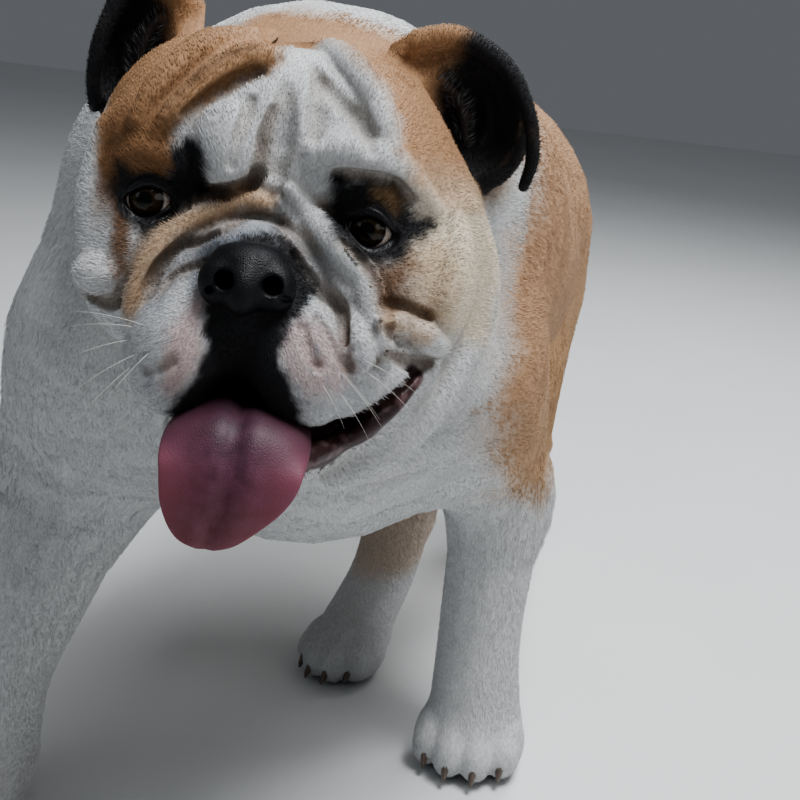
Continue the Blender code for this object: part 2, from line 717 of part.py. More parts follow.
def build_eye(name, side):
    bpy.ops.mesh.primitive_uv_sphere_add(segments=16, ring_count=9, radius=EYE_RADIUS * MM)
    eye = bpy.context.object
    eye.name = name
    eye.data.name = name
    eye.data.transform(translation(HEAD.point(eye_place(side))))
    eye.data.materials.append(finish(name, AMBER, 0.1))
    return eye


def build_nose():
    clay = head_clay(SMALL_STEP, (-30, -75, -50), (34, -15, 5))
    nose_masses(clay)
    return thinned(to_object("nose", *clay.mesh(), BLACK, 0.35), NOSE_TRIANGLES)


def build_ear(name, side, spread, lift, head):
    low = (min(side * 40, side * 130), 30, -5)
    high = (max(side * 40, side * 130), 100, 125)
    clay = head_clay(SMALL_STEP, low, high)
    ear_masses(clay, side, spread, lift)
    ear = thinned(to_object(name, *clay.mesh(), BLACK, 0.7), EAR_TRIANGLES)
    return largest(cut(ear, [swollen(head)]))


def head_clay(step, low, high):
    """A block of clay that holds a box of the head's own frame."""
    corners = np.array([HEAD.point(place) for place in itertools.product(*zip(low, high))]) / MM
    return Clay(corners.min(0) - 6, corners.max(0) + 6, step)


def build_head():
    """The head with everything that is seated in it, then parted from the neck and the jaw."""
    clay = head_clay(HEAD_STEP, (-120, -85, -135), (125, 135, 100))
    neck_masses(clay)
    head_masses(clay)
    flews(clay)
    face_folds(clay)
    jaw_masses(clay)
    mouth(clay)
    eye_sockets(clay)
    head = thinned(to_object("head_all", *clay.mesh(), FAWN), HEAD_TRIANGLES)
    build_ear("ear_left", 1, 1, 0, head)
    build_ear("ear_right", -1, 0.55, 10, head)
    tongue = build_tongue()
    nose = build_nose()
    eyes = [build_eye("eye_left", 1), build_eye("eye_right", -1)]
    cut(head, [swollen(part) for part in [tongue, nose] + eyes])
    head = largest(head)
    cut(head, [mouth_sheet(), sheet(HEAD_CUT, 200, HEAD)])
    split(head, {"head": ((18, -158, 355), FAWN), "lower_jaw": ((35, -210, 262), CREAM)})


def main():
    clear_scene()
    build_head()
    build_body()
    stand_at_origin()


main()
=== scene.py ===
import itertools
import json
import math

import bmesh
import bpy
import numpy as np
import openvdb
from mathutils import Matrix, Vector
from mathutils.bvhtree import BVHTree

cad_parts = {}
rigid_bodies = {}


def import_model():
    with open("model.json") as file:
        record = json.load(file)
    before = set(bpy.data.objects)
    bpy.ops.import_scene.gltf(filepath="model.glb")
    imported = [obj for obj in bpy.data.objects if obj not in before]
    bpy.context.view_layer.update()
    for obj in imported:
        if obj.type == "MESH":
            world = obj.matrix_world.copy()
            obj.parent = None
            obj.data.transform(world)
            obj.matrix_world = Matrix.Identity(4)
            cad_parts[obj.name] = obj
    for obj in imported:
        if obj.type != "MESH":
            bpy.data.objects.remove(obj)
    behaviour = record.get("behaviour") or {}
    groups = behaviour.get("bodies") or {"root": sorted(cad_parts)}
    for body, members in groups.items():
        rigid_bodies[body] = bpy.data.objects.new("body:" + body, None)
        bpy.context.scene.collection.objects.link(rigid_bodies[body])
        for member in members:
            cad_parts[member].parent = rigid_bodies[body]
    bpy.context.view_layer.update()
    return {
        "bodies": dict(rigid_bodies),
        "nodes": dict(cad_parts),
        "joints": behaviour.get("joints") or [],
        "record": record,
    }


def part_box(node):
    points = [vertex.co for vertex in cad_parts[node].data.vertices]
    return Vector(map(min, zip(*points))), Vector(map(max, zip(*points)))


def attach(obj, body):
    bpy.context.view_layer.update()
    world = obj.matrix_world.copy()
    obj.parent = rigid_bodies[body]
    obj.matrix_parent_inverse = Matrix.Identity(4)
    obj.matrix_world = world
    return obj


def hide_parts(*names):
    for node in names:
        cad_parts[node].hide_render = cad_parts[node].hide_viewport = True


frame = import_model()

# The skin. One living hide covers the dog from the lips to the tail, so the head, ears, neck, trunk,
# legs and feet are laid as clay masses in one field of distances and taken off as a single surface.
# The face is kept fine for its folds and lids, and the trunk is thinned.
MM = 0.001
EYE_LINE = np.array((18.0, -191.0, 356.0))
EYE_SPACING = 98
EYE_RADIUS = 12.2
HEAD_YAW, HEAD_PITCH, HEAD_ROLL = 16, -8, 2.6
SHOULDER_HEIGHT = 330
CHEST_HALF = 129
RUMP_HEIGHT = 294
# Where each paw stands, which way it points in degrees and half its width
PAWS = {
    "left fore": ((105, -6), 4, 34),
    "right fore": ((-143, -163), -10, 35),
    "left hind": ((50, 335), 6, 29),
    "right hind": ((-2, 74), -14, 29),
}
TOES = (-1, -0.36, 0.36, 1)
TRUNK_STEP = 3.6 * MM
FAR = 0.05


def turned(rx=0, ry=0, rz=0):
    """The matrix of turns in degrees about X, then Y, then Z."""
    a, b, c = (math.radians(angle) for angle in (rx, ry, rz))
    about_x = np.array([[1, 0, 0], [0, math.cos(a), -math.sin(a)], [0, math.sin(a), math.cos(a)]])
    about_y = np.array([[math.cos(b), 0, math.sin(b)], [0, 1, 0], [-math.sin(b), 0, math.cos(b)]])
    about_z = np.array([[math.cos(c), -math.sin(c), 0], [math.sin(c), math.cos(c), 0], [0, 0, 1]])
    return about_z @ about_y @ about_x


HEAD_TURN = turned(0, 0, HEAD_YAW) @ turned(HEAD_PITCH) @ turned(0, HEAD_ROLL)


def middle(node):
    low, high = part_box(node)
    return (np.array(low) + np.array(high)) / 2


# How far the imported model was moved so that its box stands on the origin, read at the left eye
SHIFT = middle("eye_left") / MM - (EYE_LINE + HEAD_TURN @ np.array((EYE_SPACING / 2, 0, 0)))
SHIFT[2] = 0


class Frame:
    """A local frame in millimetres; point() gives metres in the row frame."""

    def __init__(self, origin=(0, 0, 0), turn=None):
        self.origin = (np.array(origin, float) + SHIFT) * MM
        self.turn = np.eye(3) if turn is None else turn

    def point(self, place):
        return self.origin + self.turn @ (np.array(place, float) * MM)

    def local(self, points):
        return (np.asarray(points) - self.origin) @ self.turn / MM


WORLD = Frame()
HEAD = Frame(EYE_LINE, HEAD_TURN)


class Ball:
    """An ellipsoid mass."""

    def __init__(self, centre, radii, turn=(0, 0, 0), frame=WORLD):
        self.centre = frame.point(centre)
        self.radii = np.array(radii, float) * MM
        self.axes = frame.turn @ turned(*turn)
        reach = np.sqrt(((self.axes * self.radii) ** 2).sum(1))
        self.low, self.high = self.centre - reach, self.centre + reach

    def distance(self, x, y, z):
        offset = (x - self.centre[0], y - self.centre[1], z - self.centre[2])
        near, steep = 0, 1e-12
        for axis in range(3):
            along = sum(offset[i] * self.axes[i, axis] for i in range(3)) / self.radii[axis]
            near = near + along * along
            steep = steep + (along / self.radii[axis]) ** 2
        near = np.sqrt(near)
        return near * (near - 1) / np.sqrt(steep)


def smooth_path(points, values, per):
    """A Catmull-Rom curve through the points, with a value carried along."""
    rows = np.column_stack([points, values])
    rows = np.vstack([2 * rows[0] - rows[1], rows, 2 * rows[-1] - rows[-2]])
    out = []
    for a, b, c, d in zip(rows, rows[1:], rows[2:], rows[3:]):
        for t in np.arange(per) / per:
            bend = (2 * a - 5 * b + 4 * c - d) * t**2 + (3 * b - a - 3 * c + d) * t**3
            out.append(0.5 * (2 * b + (c - a) * t + bend))
    out = np.array(out + [rows[-2]])
    return out[:, :3], np.maximum(out[:, 3], 0.01 * MM)


class Rope:
    """A round mass along a smooth line, its radius changing from point to point."""

    def __init__(self, points, radii, frame=WORLD, per=3):
        places = np.array([frame.point(point) for point in points])
        radii = np.broadcast_to(np.array(radii, float) * MM, len(points))
        self.line, self.radii = smooth_path(places, radii, per)
        self.low = self.line.min(0) - self.radii.max()
        self.high = self.line.max(0) + self.radii.max()

    def distance(self, x, y, z):
        nearest = None
        for a, b, start, end in zip(self.line, self.line[1:], self.radii, self.radii[1:]):
            run = b - a
            px, py, pz = x - a[0], y - a[1], z - a[2]
            t = np.clip((px * run[0] + py * run[1] + pz * run[2]) / (run @ run + 1e-12), 0, 1)
            reach = (px - t * run[0]) ** 2 + (py - t * run[1]) ** 2 + (pz - t * run[2]) ** 2
            here = np.sqrt(reach) - (start + t * (end - start))
            nearest = here if nearest is None else np.minimum(nearest, here)
        return nearest


def blended(first, second, soft):
    """The smaller of two distances, rounded where they meet."""
    if soft <= 0:
        return np.minimum(first, second)
    overlap = np.maximum(soft - np.abs(first - second), 0) / soft
    return np.minimum(first, second) - overlap**2 * soft / 4


class Clay:
    """A block of distances that masses are added to and creases pressed into."""

    def __init__(self, low, high, step):
        self.low = np.array(low, float)
        self.step = step
        shape = np.ceil((np.array(high) - self.low) / step).astype(int) + 1
        self.field = np.full(shape, FAR, np.float32)
        self.log = []

    def window(self, mass, soft):
        reach = soft + 3 * self.step
        start = np.floor((mass.low - reach - self.low) / self.step).astype(int)
        stop = np.ceil((mass.high + reach - self.low) / self.step).astype(int) + 1
        start = np.clip(start, 0, self.field.shape)
        stop = np.clip(stop, start, self.field.shape)
        part = tuple(slice(a, b) for a, b in zip(start, stop))
        axes = [np.arange(a, b) * self.step + low for a, b, low in zip(start, stop, self.low)]
        return part, np.meshgrid(*(axis.astype(np.float32) for axis in axes), indexing="ij", sparse=True)

    def work(self, mass, soft, sign):
        soft *= MM
        self.log.append((mass, soft, sign))
        part, places = self.window(mass, soft)
        if self.field[part].size:
            distance = mass.distance(*places)
            self.field[part] = sign * blended(sign * self.field[part], distance, soft)

    def add(self, mass, soft=0):
        self.work(mass, soft, 1)

    def press(self, mass, soft=0):
        self.work(mass, soft, -1)

    def finer(self):
        """Halves the step, with the points between filled by a cubic."""
        for axis in range(3):
            rows = np.moveaxis(self.field, axis, 0)
            out = np.empty((2 * len(rows) - 1,) + rows.shape[1:], np.float32)
            out[::2] = rows
            out[1::2] = (rows[:-1] + rows[1:]) / 2
            out[3:-3:2] = (9 * (rows[1:-2] + rows[2:-1]) - rows[:-3] - rows[3:]) / 16
            self.field = np.moveaxis(out, 0, axis)
        self.field = np.ascontiguousarray(self.field)
        self.step /= 2

    def at(self, place):
        index = np.rint((place - self.low) / self.step).astype(int)
        return self.field[tuple(np.clip(index, 0, np.array(self.field.shape) - 1))]

    def face_point(self, x, z, sink=0, start=-110, stop=60):
        """The first place on the face, met from the front at this x and z of the head."""
        for y in np.arange(start, stop, 0.5):
            if self.at(HEAD.point((x, y, z))) < 0:
                return (x, y + sink, z)
        return (x, stop, z)

    def exact(self, points):
        """The distance at loose points, from the masses themselves."""
        found = np.full(len(points), FAR)
        for mass, soft, sign in self.log:
            reach = soft + 0.008
            near = ((points > mass.low - reach) & (points < mass.high + reach)).all(1)
            if near.any():
                found[near] = sign * blended(sign * found[near], mass.distance(*points[near].T), soft)
        return found

    def mesh(self):
        grid = openvdb.FloatGrid()
        grid.copyFromArray(self.field)
        points, quads = grid.convertToQuads(0)
        return points.astype(float) * self.step + self.low, quads


def on_face(clay, line, sink=0):
    return [clay.face_point(x, z, sink) for x, z in line]


def trunk_masses(clay):
    """The barrel, chest, loin and rump, and the thick neck."""
    clay.add(Ball((-4, 62, 296), (CHEST_HALF, 150, 110)))
    clay.add(Ball((-6, -48, 245), (108, 92, 98)), 40)
    clay.add(Ball((-2, 188, 298), (102, 112, 99)), 40)
    clay.add(Ball((0, 270, RUMP_HEIGHT), (94, 82, 98)), 40)
    clay.add(Rope([(-4, -75, 352), (-6, -30, 340), (-6, 20, 320)], [84, 100, 112]), 30)
    clay.add(Ball((-6, -56, 382), (84, 66, 59)), 30)
    clay.add(Rope([(0, -120, 285), (-4, -80, 240)], [50, 62]), 40)


def leg(clay, line, radii, soft=30):
    clay.add(Rope(line, radii), soft)


def leg_masses(clay):
    x, y = PAWS["left fore"][0]
    clay.add(Ball((x - 27, -22, SHOULDER_HEIGHT), (46, 72, 84), (18, 0, 0)), 36)
    leg(clay, [(x - 24, -66, 262), (x - 10, -12, 205), (x - 2, 12, 165)], [54, 37, 30])
    leg(clay, [(x - 1, 12, 175), (x - 3, 6, 120), (x - 3, 2, 72), (x, y + 4, 30)], [31, 27, 26, 29], 16)
    clay.add(Ball((x - 2, 38, 178), (15, 18, 22)), 14)
    x, y = PAWS["right fore"][0]
    clay.add(Ball((-98, -50, SHOULDER_HEIGHT - 8), (54, 72, 84), (18, 0, 0)), 36)
    leg(clay, [(-100, -88, 255), (-118, -76, 205), (-128, -78, 165)], [64, 57, 45])
    leg(clay, [(-128, -76, 178), (-136, -108, 122), (x, y + 22, 74), (x, y + 6, 32)], [43, 36, 31, 31], 16)
    clay.add(Ball((-124, -44, 186), (16, 20, 22)), 14)
    x, y = PAWS["left hind"][0]
    clay.add(Ball((52, 270, 262), (42, 66, 72), (12, 0, 0)), 34)
    leg(clay, [(54, 258, 232), (60, 236, 180), (58, 290, 128), (x + 4, y + 22, 92)], [46, 40, 31, 24], 24)
    leg(clay, [(x + 4, y + 20, 94), (x + 1, y + 12, 50), (x, y + 4, 24)], [24, 22, 24], 12)
    x, y = PAWS["right hind"][0]
    clay.add(Ball((-60, 258, 262), (46, 70, 72), (6, 0, 0)), 34)
    leg(clay, [(-66, 242, 232), (-64, 204, 180), (-28, 188, 130), (2, 168, 86)], [56, 48, 34, 25], 24)
    leg(clay, [(2, 168, 86), (4, 128, 54), (x, y + 20, 26)], [25, 23, 24], 12)


def paw_frame(place, heading):
    return Frame((*place, 0), turned(0, 0, heading))


def toe_front(share):
    """Where a toe begins, ahead of the paw's middle; the two inner toes are longer."""
    return -30 if abs(share) < 0.5 else -20


def paw_masses(clay, place, heading, half_width):
    """Four toes and a heel, with the pads beneath."""
    foot = paw_frame(place, heading)
    clay.add(Ball((0, 2, 20), (half_width * 0.86, 30, 22), frame=foot), 10)
    for share in TOES:
        side = share * (half_width - 12)
        front = toe_front(share)
        clay.add(Ball((side, front + 12, 17), (12.5, 20, 17), (14, 0, share * -8), frame=foot), 4)
        clay.add(Ball((side * 1.04, front + 2, 15), (10.5, 13, 13.5), (20, 0, share * -8), frame=foot), 3)
    for share in (-0.68, 0, 0.68):
        side = share * (half_width - 12)
        line = [(side, -46, 14), (side, -37, 31), (side * 0.9, -26, 44)]
        clay.press(Rope(line, [2.2, 1.8, 0.8], foot), 4)


def lump(clay, centre, radii, soft, turn=(0, 0, 0)):
    """Adds an ellipsoid placed in the head's frame."""
    clay.add(Ball(centre, radii, turn, HEAD), soft)


def skull_masses(clay):
    """The skull, cheeks and muzzle as plain forms; the left cheek is drawn wide by the open mouth."""
    lump(clay, (0, 62, 22), (76, 76, 56), 0)
    for side in (-1, 1):
        lump(clay, (side * 38, 56, 38), (42, 50, 40), 14)
    lump(clay, (0, 22, 36), (60, 36, 36), 16)
    lump(clay, (62, 48, -10), (43, 52, 56), 22)
    lump(clay, (-50, 46, -8), (38, 52, 54), 22)
    lump(clay, (60, 14, -30), (36, 32, 40), 18)
    lump(clay, (-48, 14, -30), (32, 32, 38), 18)
    for side in (-1, 1):
        lump(clay, (side * 44, 10, 26), (28, 22, 20), 14)
    lump(clay, (0, 6, -42), (56, 50, 40), 14)
    lump(clay, (2, -26, -38), (28, 24, 26), 10)
    lump(clay, (0, -24, -15), (21, 22, 13), 6)


def flew_masses(clay):
    """The cushions of the upper lip, which hang lowest beside the tongue."""
    lump(clay, (-24, -32, -62), (25, 25, 28), 10)
    lump(clay, (27, -32, -61), (25, 25, 28), 10)
    lump(clay, (50, -14, -60), (27, 25, 23), 10, (0, 12, 0))
    lump(clay, (68, 4, -58), (20, 22, 14), 10, (0, 24, 0))
    clay.press(Rope([(1, -62, -34), (1, -60, -50), (0, -56, -64)], [1, 2, 5], HEAD), 5)
    clay.press(Ball((1, -52, -82), (13, 22, 15), frame=HEAD), 5)


def jaw_masses(clay):
    """The lower jaw, wide and turned up in front."""
    lump(clay, (9, -14, -98), (40, 40, 19), 6)
    lump(clay, (52, 14, -84), (32, 30, 24), 10, (0, -28, 0))
    lump(clay, (8, 36, -88), (54, 46, 32), 16)


FLEW_EDGE = [(24, -87), (35, -89), (47, -86.5), (56, -80), (63, -73), (71, -66), (77, -59)]


def open_mouth(clay):
    """The gap between the lips, which the tongue fills."""
    clay.press(Ball((3, -48, -84), (14, 26, 13), frame=HEAD), 3)
    clay.press(Rope(on_face(clay, FLEW_EDGE, 3), [4, 4, 4, 4, 3.5, 3, 2], HEAD), 2)


# Folds of the face as (x, z) of the head, seen from the front: over the nose, forehead and brows
ROPE_LEFT = [(8, 3), (-3, 6), (-15, 1), (-27, -4), (-36, -11), (-43, -22), (-47, -36), (-48, -50)]
ROPE_INNER = [(9, 7), (16, 0), (24, -7), (34, -16), (42, -25), (48, -35), (52, -48), (52, -58)]
ROPE_RIGHT = [(12, 13), (20, 4), (30, -4), (40, -12), (49, -21), (55, -32), (59, -42), (63, -52)]
RIDGE_RIGHT = [(12, 80), (20, 77), (29, 71), (38, 63), (45, 54), (50, 45), (54, 36)]
ROLL_UPPER = [(-9, 84), (-20, 79), (-33, 71), (-43, 60), (-51, 49), (-58, 34)]
ROLL_LOWER = [(3, 72), (-6, 68), (-16, 65), (-25, 58), (-33, 49), (-41, 39), (-47, 30)]
BROW_RIGHT = [(21, 30), (32, 32), (43, 31), (55, 28), (65, 21), (75, 13)]
BROW_LEFT = [(-36, 16), (-50, 20), (-64, 13)]
CHEEK_ROLL = [(60, -36), (69, -39), (78, -43), (85, -47)]
JOWL = [(84, 14), (88, 3), (88, -12), (86, -26), (84, -36)]

# Creases of the face: the line, its radii, how deep it is sunk and how softly its edges turn in
CREASES = [
    ([(-4, 14), (-13, 10), (-24, 6), (-35, -2), (-45, -12), (-51, -25), (-54, -42)], 3.6, 1.6, 1.5),
    ([(-6, -3), (-19, -11), (-31, -18), (-38, -27), (-41, -41)], 3.4, 1.6, 2),
    ([(-36, -38), (-31, -29), (-25, -25), (-18, -22)], 1.8, 0.8, 2),
    (
        [(12, -4), (19, -13), (26, -22), (33, -28), (41, -35), (45, -47)],
        [0.8, 3.2, 4.2, 4.2, 3.4, 1.5], 1.4, 2,
    ),
    ([(37, -5), (47, -12), (55, -20), (61, -31), (64, -42)], [1, 3, 3.8, 3.8, 2.4], 1.4, 2),
    ([(63, -49), (70, -53), (77, -55), (84, -54)], [1, 3.4, 3.8, 2], 1.4, 2),
    ([(59, -30), (69, -31), (78, -34)], 2.2, 1, 3),
    ([(33, 22), (44, 23), (56, 22), (64, 16)], 2.4, 1, 3),
    ([(-74, -45), (-64, -47), (-55, -44)], 3.4, 1.6, 2),
    ([(1, 45), (-1, 34), (-2, 20), (-7, 11), (-17, 7), (-29, 4)], [1.5, 3, 3.6, 4, 3.8, 2], 1.6, 2),
    ([(-4, 61), (-10, 60), (-18, 55), (-27, 47), (-36, 39)], [0.6, 2.6, 3.6, 3.2, 1.2], 1, 3),
    (
        [(-12, 72), (-18, 69), (-25, 65), (-33, 57), (-40, 47), (-44, 40)],
        [0.6, 2.2, 3, 3.4, 2.8, 0.8], 0.8, 3,
    ),
    ([(13, 69), (19, 62), (27, 55), (35, 49), (41, 42), (45, 34)], [0.8, 2.8, 3.4, 3.4, 3, 1], 0.8, 4),
    ([(-9, 48), (-11, 32), (-13, 20)], [1, 2, 1], 0.2, 4),
    ([(5, 56), (6, 44), (6, 32), (6, 20)], [2, 4.6, 5, 3], 0.4, 5),
    ([(18, 60), (20, 48), (20, 37)], [1, 3.4, 1], 0.2, 5),
    ([(38, 73), (42, 68), (46, 62)], [1, 2.2, 1], 0.6, 3),
    ([(49, 73), (54, 70), (61, 65)], [1, 2.2, 1], 0.6, 3),
    ([(27, -42), (31, -50), (35, -56)], 1.8, 0.3, 3),
    ([(33, -38), (40, -47), (47, -56)], 1.8, 0.3, 3),
    ([(-35, -68), (-29, -66), (-24, -62)], 1.5, 0.2, 3),
]
# How many of these, from the first, are darkened along their grooves: partly a brown stain of damp, partly
# painted shade
SHADED_AND_STAINED_CREASES = 12
# The hanging edges of both cheeks and the groove behind the left one, as (x, y, z) of the head
CHEEK_EDGE_LEFT = [(92, 24, 14), (101, 34, -8), (104, 36, -30), (99, 31, -52), (88, 20, -72)]
CHEEK_EDGE_RIGHT = [(-71, 14, 26), (-75, 4, 0), (-71, 0, -24)]
JOWL_BACK = [(99, 40, 22), (107, 46, 4), (112, 50, -18), (110, 46, -40), (102, 38, -60), (90, 26, -80)]


def fold(clay, line, radii, sink, soft):
    clay.add(Rope(on_face(clay, line, sink), radii, HEAD), soft)


def crease(clay, line, radii, sink, soft):
    """A groove that keeps its depth below the surface all along its line."""
    flat = np.array([(x, 0, z) for x, z in line], float)
    path, wide = smooth_path(flat, np.broadcast_to(np.array(radii, float), len(line)), 4)
    rows = np.array([clay.face_point(x, z, sink) for x, _, z in path])
    depth = np.convolve(np.pad(rows[:, 1], 1, "edge"), (0.25, 0.5, 0.25), "valid")
    rows[:, 1] = np.maximum(depth, rows[:, 1] - 0.5)
    clay.press(Rope(rows, wide, HEAD, 1), soft)


def face_folds(clay):
    """Loose skin: ropes over the nose, rolls of the forehead, cheek rolls, and the creases between."""
    fold(clay, ROLL_UPPER, [4, 6.5, 8, 8, 7, 4], -0.5, 3)
    fold(clay, ROLL_LOWER, [3, 6, 7, 7.5, 7, 6, 3], -0.5, 3)
    fold(clay, RIDGE_RIGHT, [4, 7, 7.5, 7.5, 7, 6, 4], -1, 2.5)
    lump(clay, clay.face_point(-17, 27, 2), (14, 11, 20), 5, (0, -8, 0))
    fold(clay, BROW_RIGHT, [4, 7, 8, 8, 7, 4], 0.5, 6)
    fold(clay, BROW_LEFT, [5, 7, 5], 2, 7)
    fold(clay, JOWL, [3, 6, 7.5, 7, 4], -0.5, 5)
    fold(clay, ROPE_LEFT, [3, 6, 7, 7.5, 7.5, 7.5, 6.5, 4], -1, 2.5)
    fold(clay, ROPE_INNER, [3, 6, 7.5, 8, 8, 8, 7.5, 4], -1, 2.5)
    fold(clay, ROPE_RIGHT, [3, 5.5, 7.5, 8, 8, 7.5, 6.5, 4], -1, 2)
    fold(clay, CHEEK_ROLL, [4, 6.5, 8, 6.5], -1.5, 2)
    lump(clay, clay.face_point(-66, -35, 2), (13, 10, 10), 3)
    clay.add(Rope(CHEEK_EDGE_LEFT, [6, 9, 10, 9, 6], HEAD), 8)
    clay.add(Rope(CHEEK_EDGE_RIGHT, [8, 8, 7], HEAD), 10)
    clay.press(Rope(JOWL_BACK, [1, 4.5, 6, 6, 4.5, 1], HEAD), 4)
    for line, radii, sink, soft in CREASES:
        crease(clay, line, radii, sink, soft)


def eye_place(side):
    return (side * EYE_SPACING / 2, 0, 0)


def lid_line(side, height):
    """An arc over the eyeball, from corner to corner."""
    line = []
    for share in np.linspace(-1, 1, 7):
        x = share * 12.5
        z = height * math.cos(share * math.pi / 2) - share * side * 1.5
        y = -math.sqrt(max((EYE_RADIUS + 1.5) ** 2 - x * x - z * z, 6))
        line.append((side * EYE_SPACING / 2 + x, y, z))
    return line


def eye_sockets(clay):
    for side in (-1, 1):
        x = side * EYE_SPACING / 2
        lump(clay, (x, 4, -1), (24, 13, 19), 8)
        clay.press(Ball(eye_place(side), (EYE_RADIUS + 0.6,) * 3, frame=HEAD), 1)
        clay.press(Ball((x, -13, -1), (13, 9, 8), frame=HEAD), 2)
        clay.add(Rope(lid_line(side, 8), [1.2, 1.6, 2.2, 2.5, 2.2, 1.6, 1.2], HEAD), 3)
        clay.add(Rope(lid_line(side, -8.8), [1.2, 1.4, 1.6, 1.7, 1.6, 1.4, 1.2], HEAD), 3)


def ear_masses(clay, side, spread, lift):
    """A rose ear: a cup that opens forward, with its rim folded over and its tip hanging."""
    def at(x, y, z):
        return (side * (56 + spread * (x - 56)), y, z + lift)

    shell = Ball(at(88, 68, 58), (32 * (0.4 + 0.6 * spread), 15, 38), (0, side * -14, 0), frame=HEAD)
    clay.add(shell, 2)
    clay.add(Rope([at(56, 70, 80), at(66, 72, 62), at(80, 72, 36)], [12, 13, 10], HEAD), 8)
    clay.press(Ball(at(90, 52, 58), (25 * (0.4 + 0.6 * spread), 15, 31), (0, side * -14, 0), frame=HEAD), 3)
    rim = [at(58, 60, 88), at(78, 56, 93), at(102, 54, 82), at(116, 52, 62), at(121, 54, 42), at(119, 58, 28)]
    clay.add(Rope(rim, [7, 6, 5, 4, 3.6, 3], HEAD), 4)
    clay.add(Rope([at(72, 62, 74), at(84, 64, 62), at(88, 64, 46)], [3, 4, 2], HEAD), 3)
    clay.add(Rope([at(92, 66, 76), at(99, 66, 60), at(96, 66, 44)], [2, 3, 2], HEAD), 3)


def lip_masses(clay):
    """The wet dark fold of the lower lip, seen on the left where the mouth is drawn open."""
    clay.add(Rope(on_face(clay, LOWER_LIP, 1), [5.6, 5.6, 5.2, 4.6, 3.6, 2.4], HEAD), 2)


def throat_folds(clay):
    """Loose skin from the cheek under the jaw to the throat, and across the brisket."""
    for line, radii, soft in DEWLAP:
        clay.add(Rope(line, radii, HEAD), soft)
    for line, radii, soft in BODY_CREASES:
        clay.press(Rope(line, radii), soft)


LOWER_LIP = [(24, -98), (36, -97), (49, -93), (61, -84), (70, -74), (78, -63)]
DEWLAP = [
    ([(101, 36, -46), (94, 26, -66), (82, 14, -84), (66, 4, -100), (48, 0, -112)], [7, 9.5, 10, 9.5, 8], 7),
]
BODY_CREASES = [
    ([(26, -133, 198), (49, -122, 194), (72, -108, 203), (94, -90, 218)], [1, 5, 6, 2], 14),
    ([(-52, -122, 236), (-74, -112, 252), (-86, -92, 280)], [1, 5, 2], 14),
    ([(112, -62, 214), (98, -78, 238), (90, -92, 262)], [1, 4, 1], 12),
]
low_corner = (np.array((-230, -280, -24)) + SHIFT) * MM
high_corner = (np.array((200, 400, 480)) + SHIFT) * MM
hide = Clay(low_corner, high_corner, TRUNK_STEP)
trunk_masses(hide)
leg_masses(hide)
hide.finer()
parts = {}


def laid(part, make, *values):
    """Lays masses in the hide and remembers them, to colour and cover that part by."""
    start = len(hide.log)
    make(hide, *values)
    parts.setdefault(part, []).extend(mass for mass, _, _ in hide.log[start:])


for paw in PAWS.values():
    paw_masses(hide, *paw)
hide.add(Rope([(0, 320, 336), (2, 356, 322), (5, 376, 298), (6, 382, 276)], [21, 16, 11, 6]), 8)
skull_masses(hide)
flew_masses(hide)
face_folds(hide)
jaw_masses(hide)
laid("mouth", open_mouth)
laid("lip", lip_masses)
throat_folds(hide)
laid("left ear", ear_masses, 1, 1, 0)
laid("right ear", ear_masses, -1, 0.55, 10)
laid("eyes", eye_sockets)


def near(part, points):
    """How far points are from the nearest of a part's masses, in millimetres."""
    nearest = np.full(len(points), FAR / MM)
    for mass in parts[part]:
        close = ((points > mass.low - 0.02) & (points < mass.high + 0.02)).all(1)
        if close.any():
            distance = np.abs(mass.distance(*points[close].T)) / MM
            nearest[close] = np.minimum(nearest[close], distance)
    return nearest


def new_mesh(name, points, faces):
    """A mesh object of triangles or quads, from arrays."""
    points, faces = np.asarray(points, float), np.asarray(faces)
    mesh = bpy.data.meshes.new(name)
    mesh.vertices.add(len(points))
    mesh.vertices.foreach_set("co", points.ravel())
    mesh.loops.add(faces.size)
    mesh.loops.foreach_set("vertex_index", faces.ravel().astype(np.int32))
    mesh.polygons.add(len(faces))
    mesh.polygons.foreach_set("loop_start", np.arange(len(faces), dtype=np.int32) * faces.shape[1])
    mesh.update(calc_edges=True)
    obj = bpy.data.objects.new(name, mesh)
    bpy.context.scene.collection.objects.link(obj)
    return obj


def read(items, what, size=3):
    values = np.empty(len(items) * size)
    items.foreach_get(what, values)
    return values.reshape(-1, size)


def corners_of(obj):
    """The triangles of a mesh as rows of vertex numbers."""
    obj.data.calc_loop_triangles()
    return read(obj.data.loop_triangles, "vertices").astype(int)


def applied(obj):
    """Bakes the object's modifiers into its mesh."""
    graph = bpy.context.evaluated_depsgraph_get()
    obj.data = bpy.data.meshes.new_from_object(obj.evaluated_get(graph))
    obj.modifiers.clear()
    return obj


def unit(rows):
    """The rows brought to length one."""
    return rows / np.maximum(np.linalg.norm(rows, axis=-1, keepdims=True), 1e-6)


def ramp(value, start, stop):
    """0 before start and 1 after stop, smooth between."""
    share = np.clip((value - start) / (stop - start), 0, 1)
    return share * share * (3 - 2 * share)


def largest_part(points, faces):
    """Only the biggest of the separate surfaces."""
    label = np.arange(len(points))
    while True:
        low = label[faces].min(1)
        new = label.copy()
        np.minimum.at(new, faces.ravel(), np.repeat(low, faces.shape[1]))
        new = new[new]
        if (new == label).all():
            break
        label = new
    kinds, counts = np.unique(label[faces[:, 0]], return_counts=True)
    kept = faces[label[faces[:, 0]] == kinds[counts.argmax()]]
    used, index = np.unique(kept, return_inverse=True)
    return points[used], index.reshape(kept.shape)


def face_share(points):
    """1 on the front of the head and 0 behind its ears."""
    place = HEAD.local(points)
    return (1 - ramp(place[:, 1], 66, 96)) * ramp(place[:, 2], -138, -122)


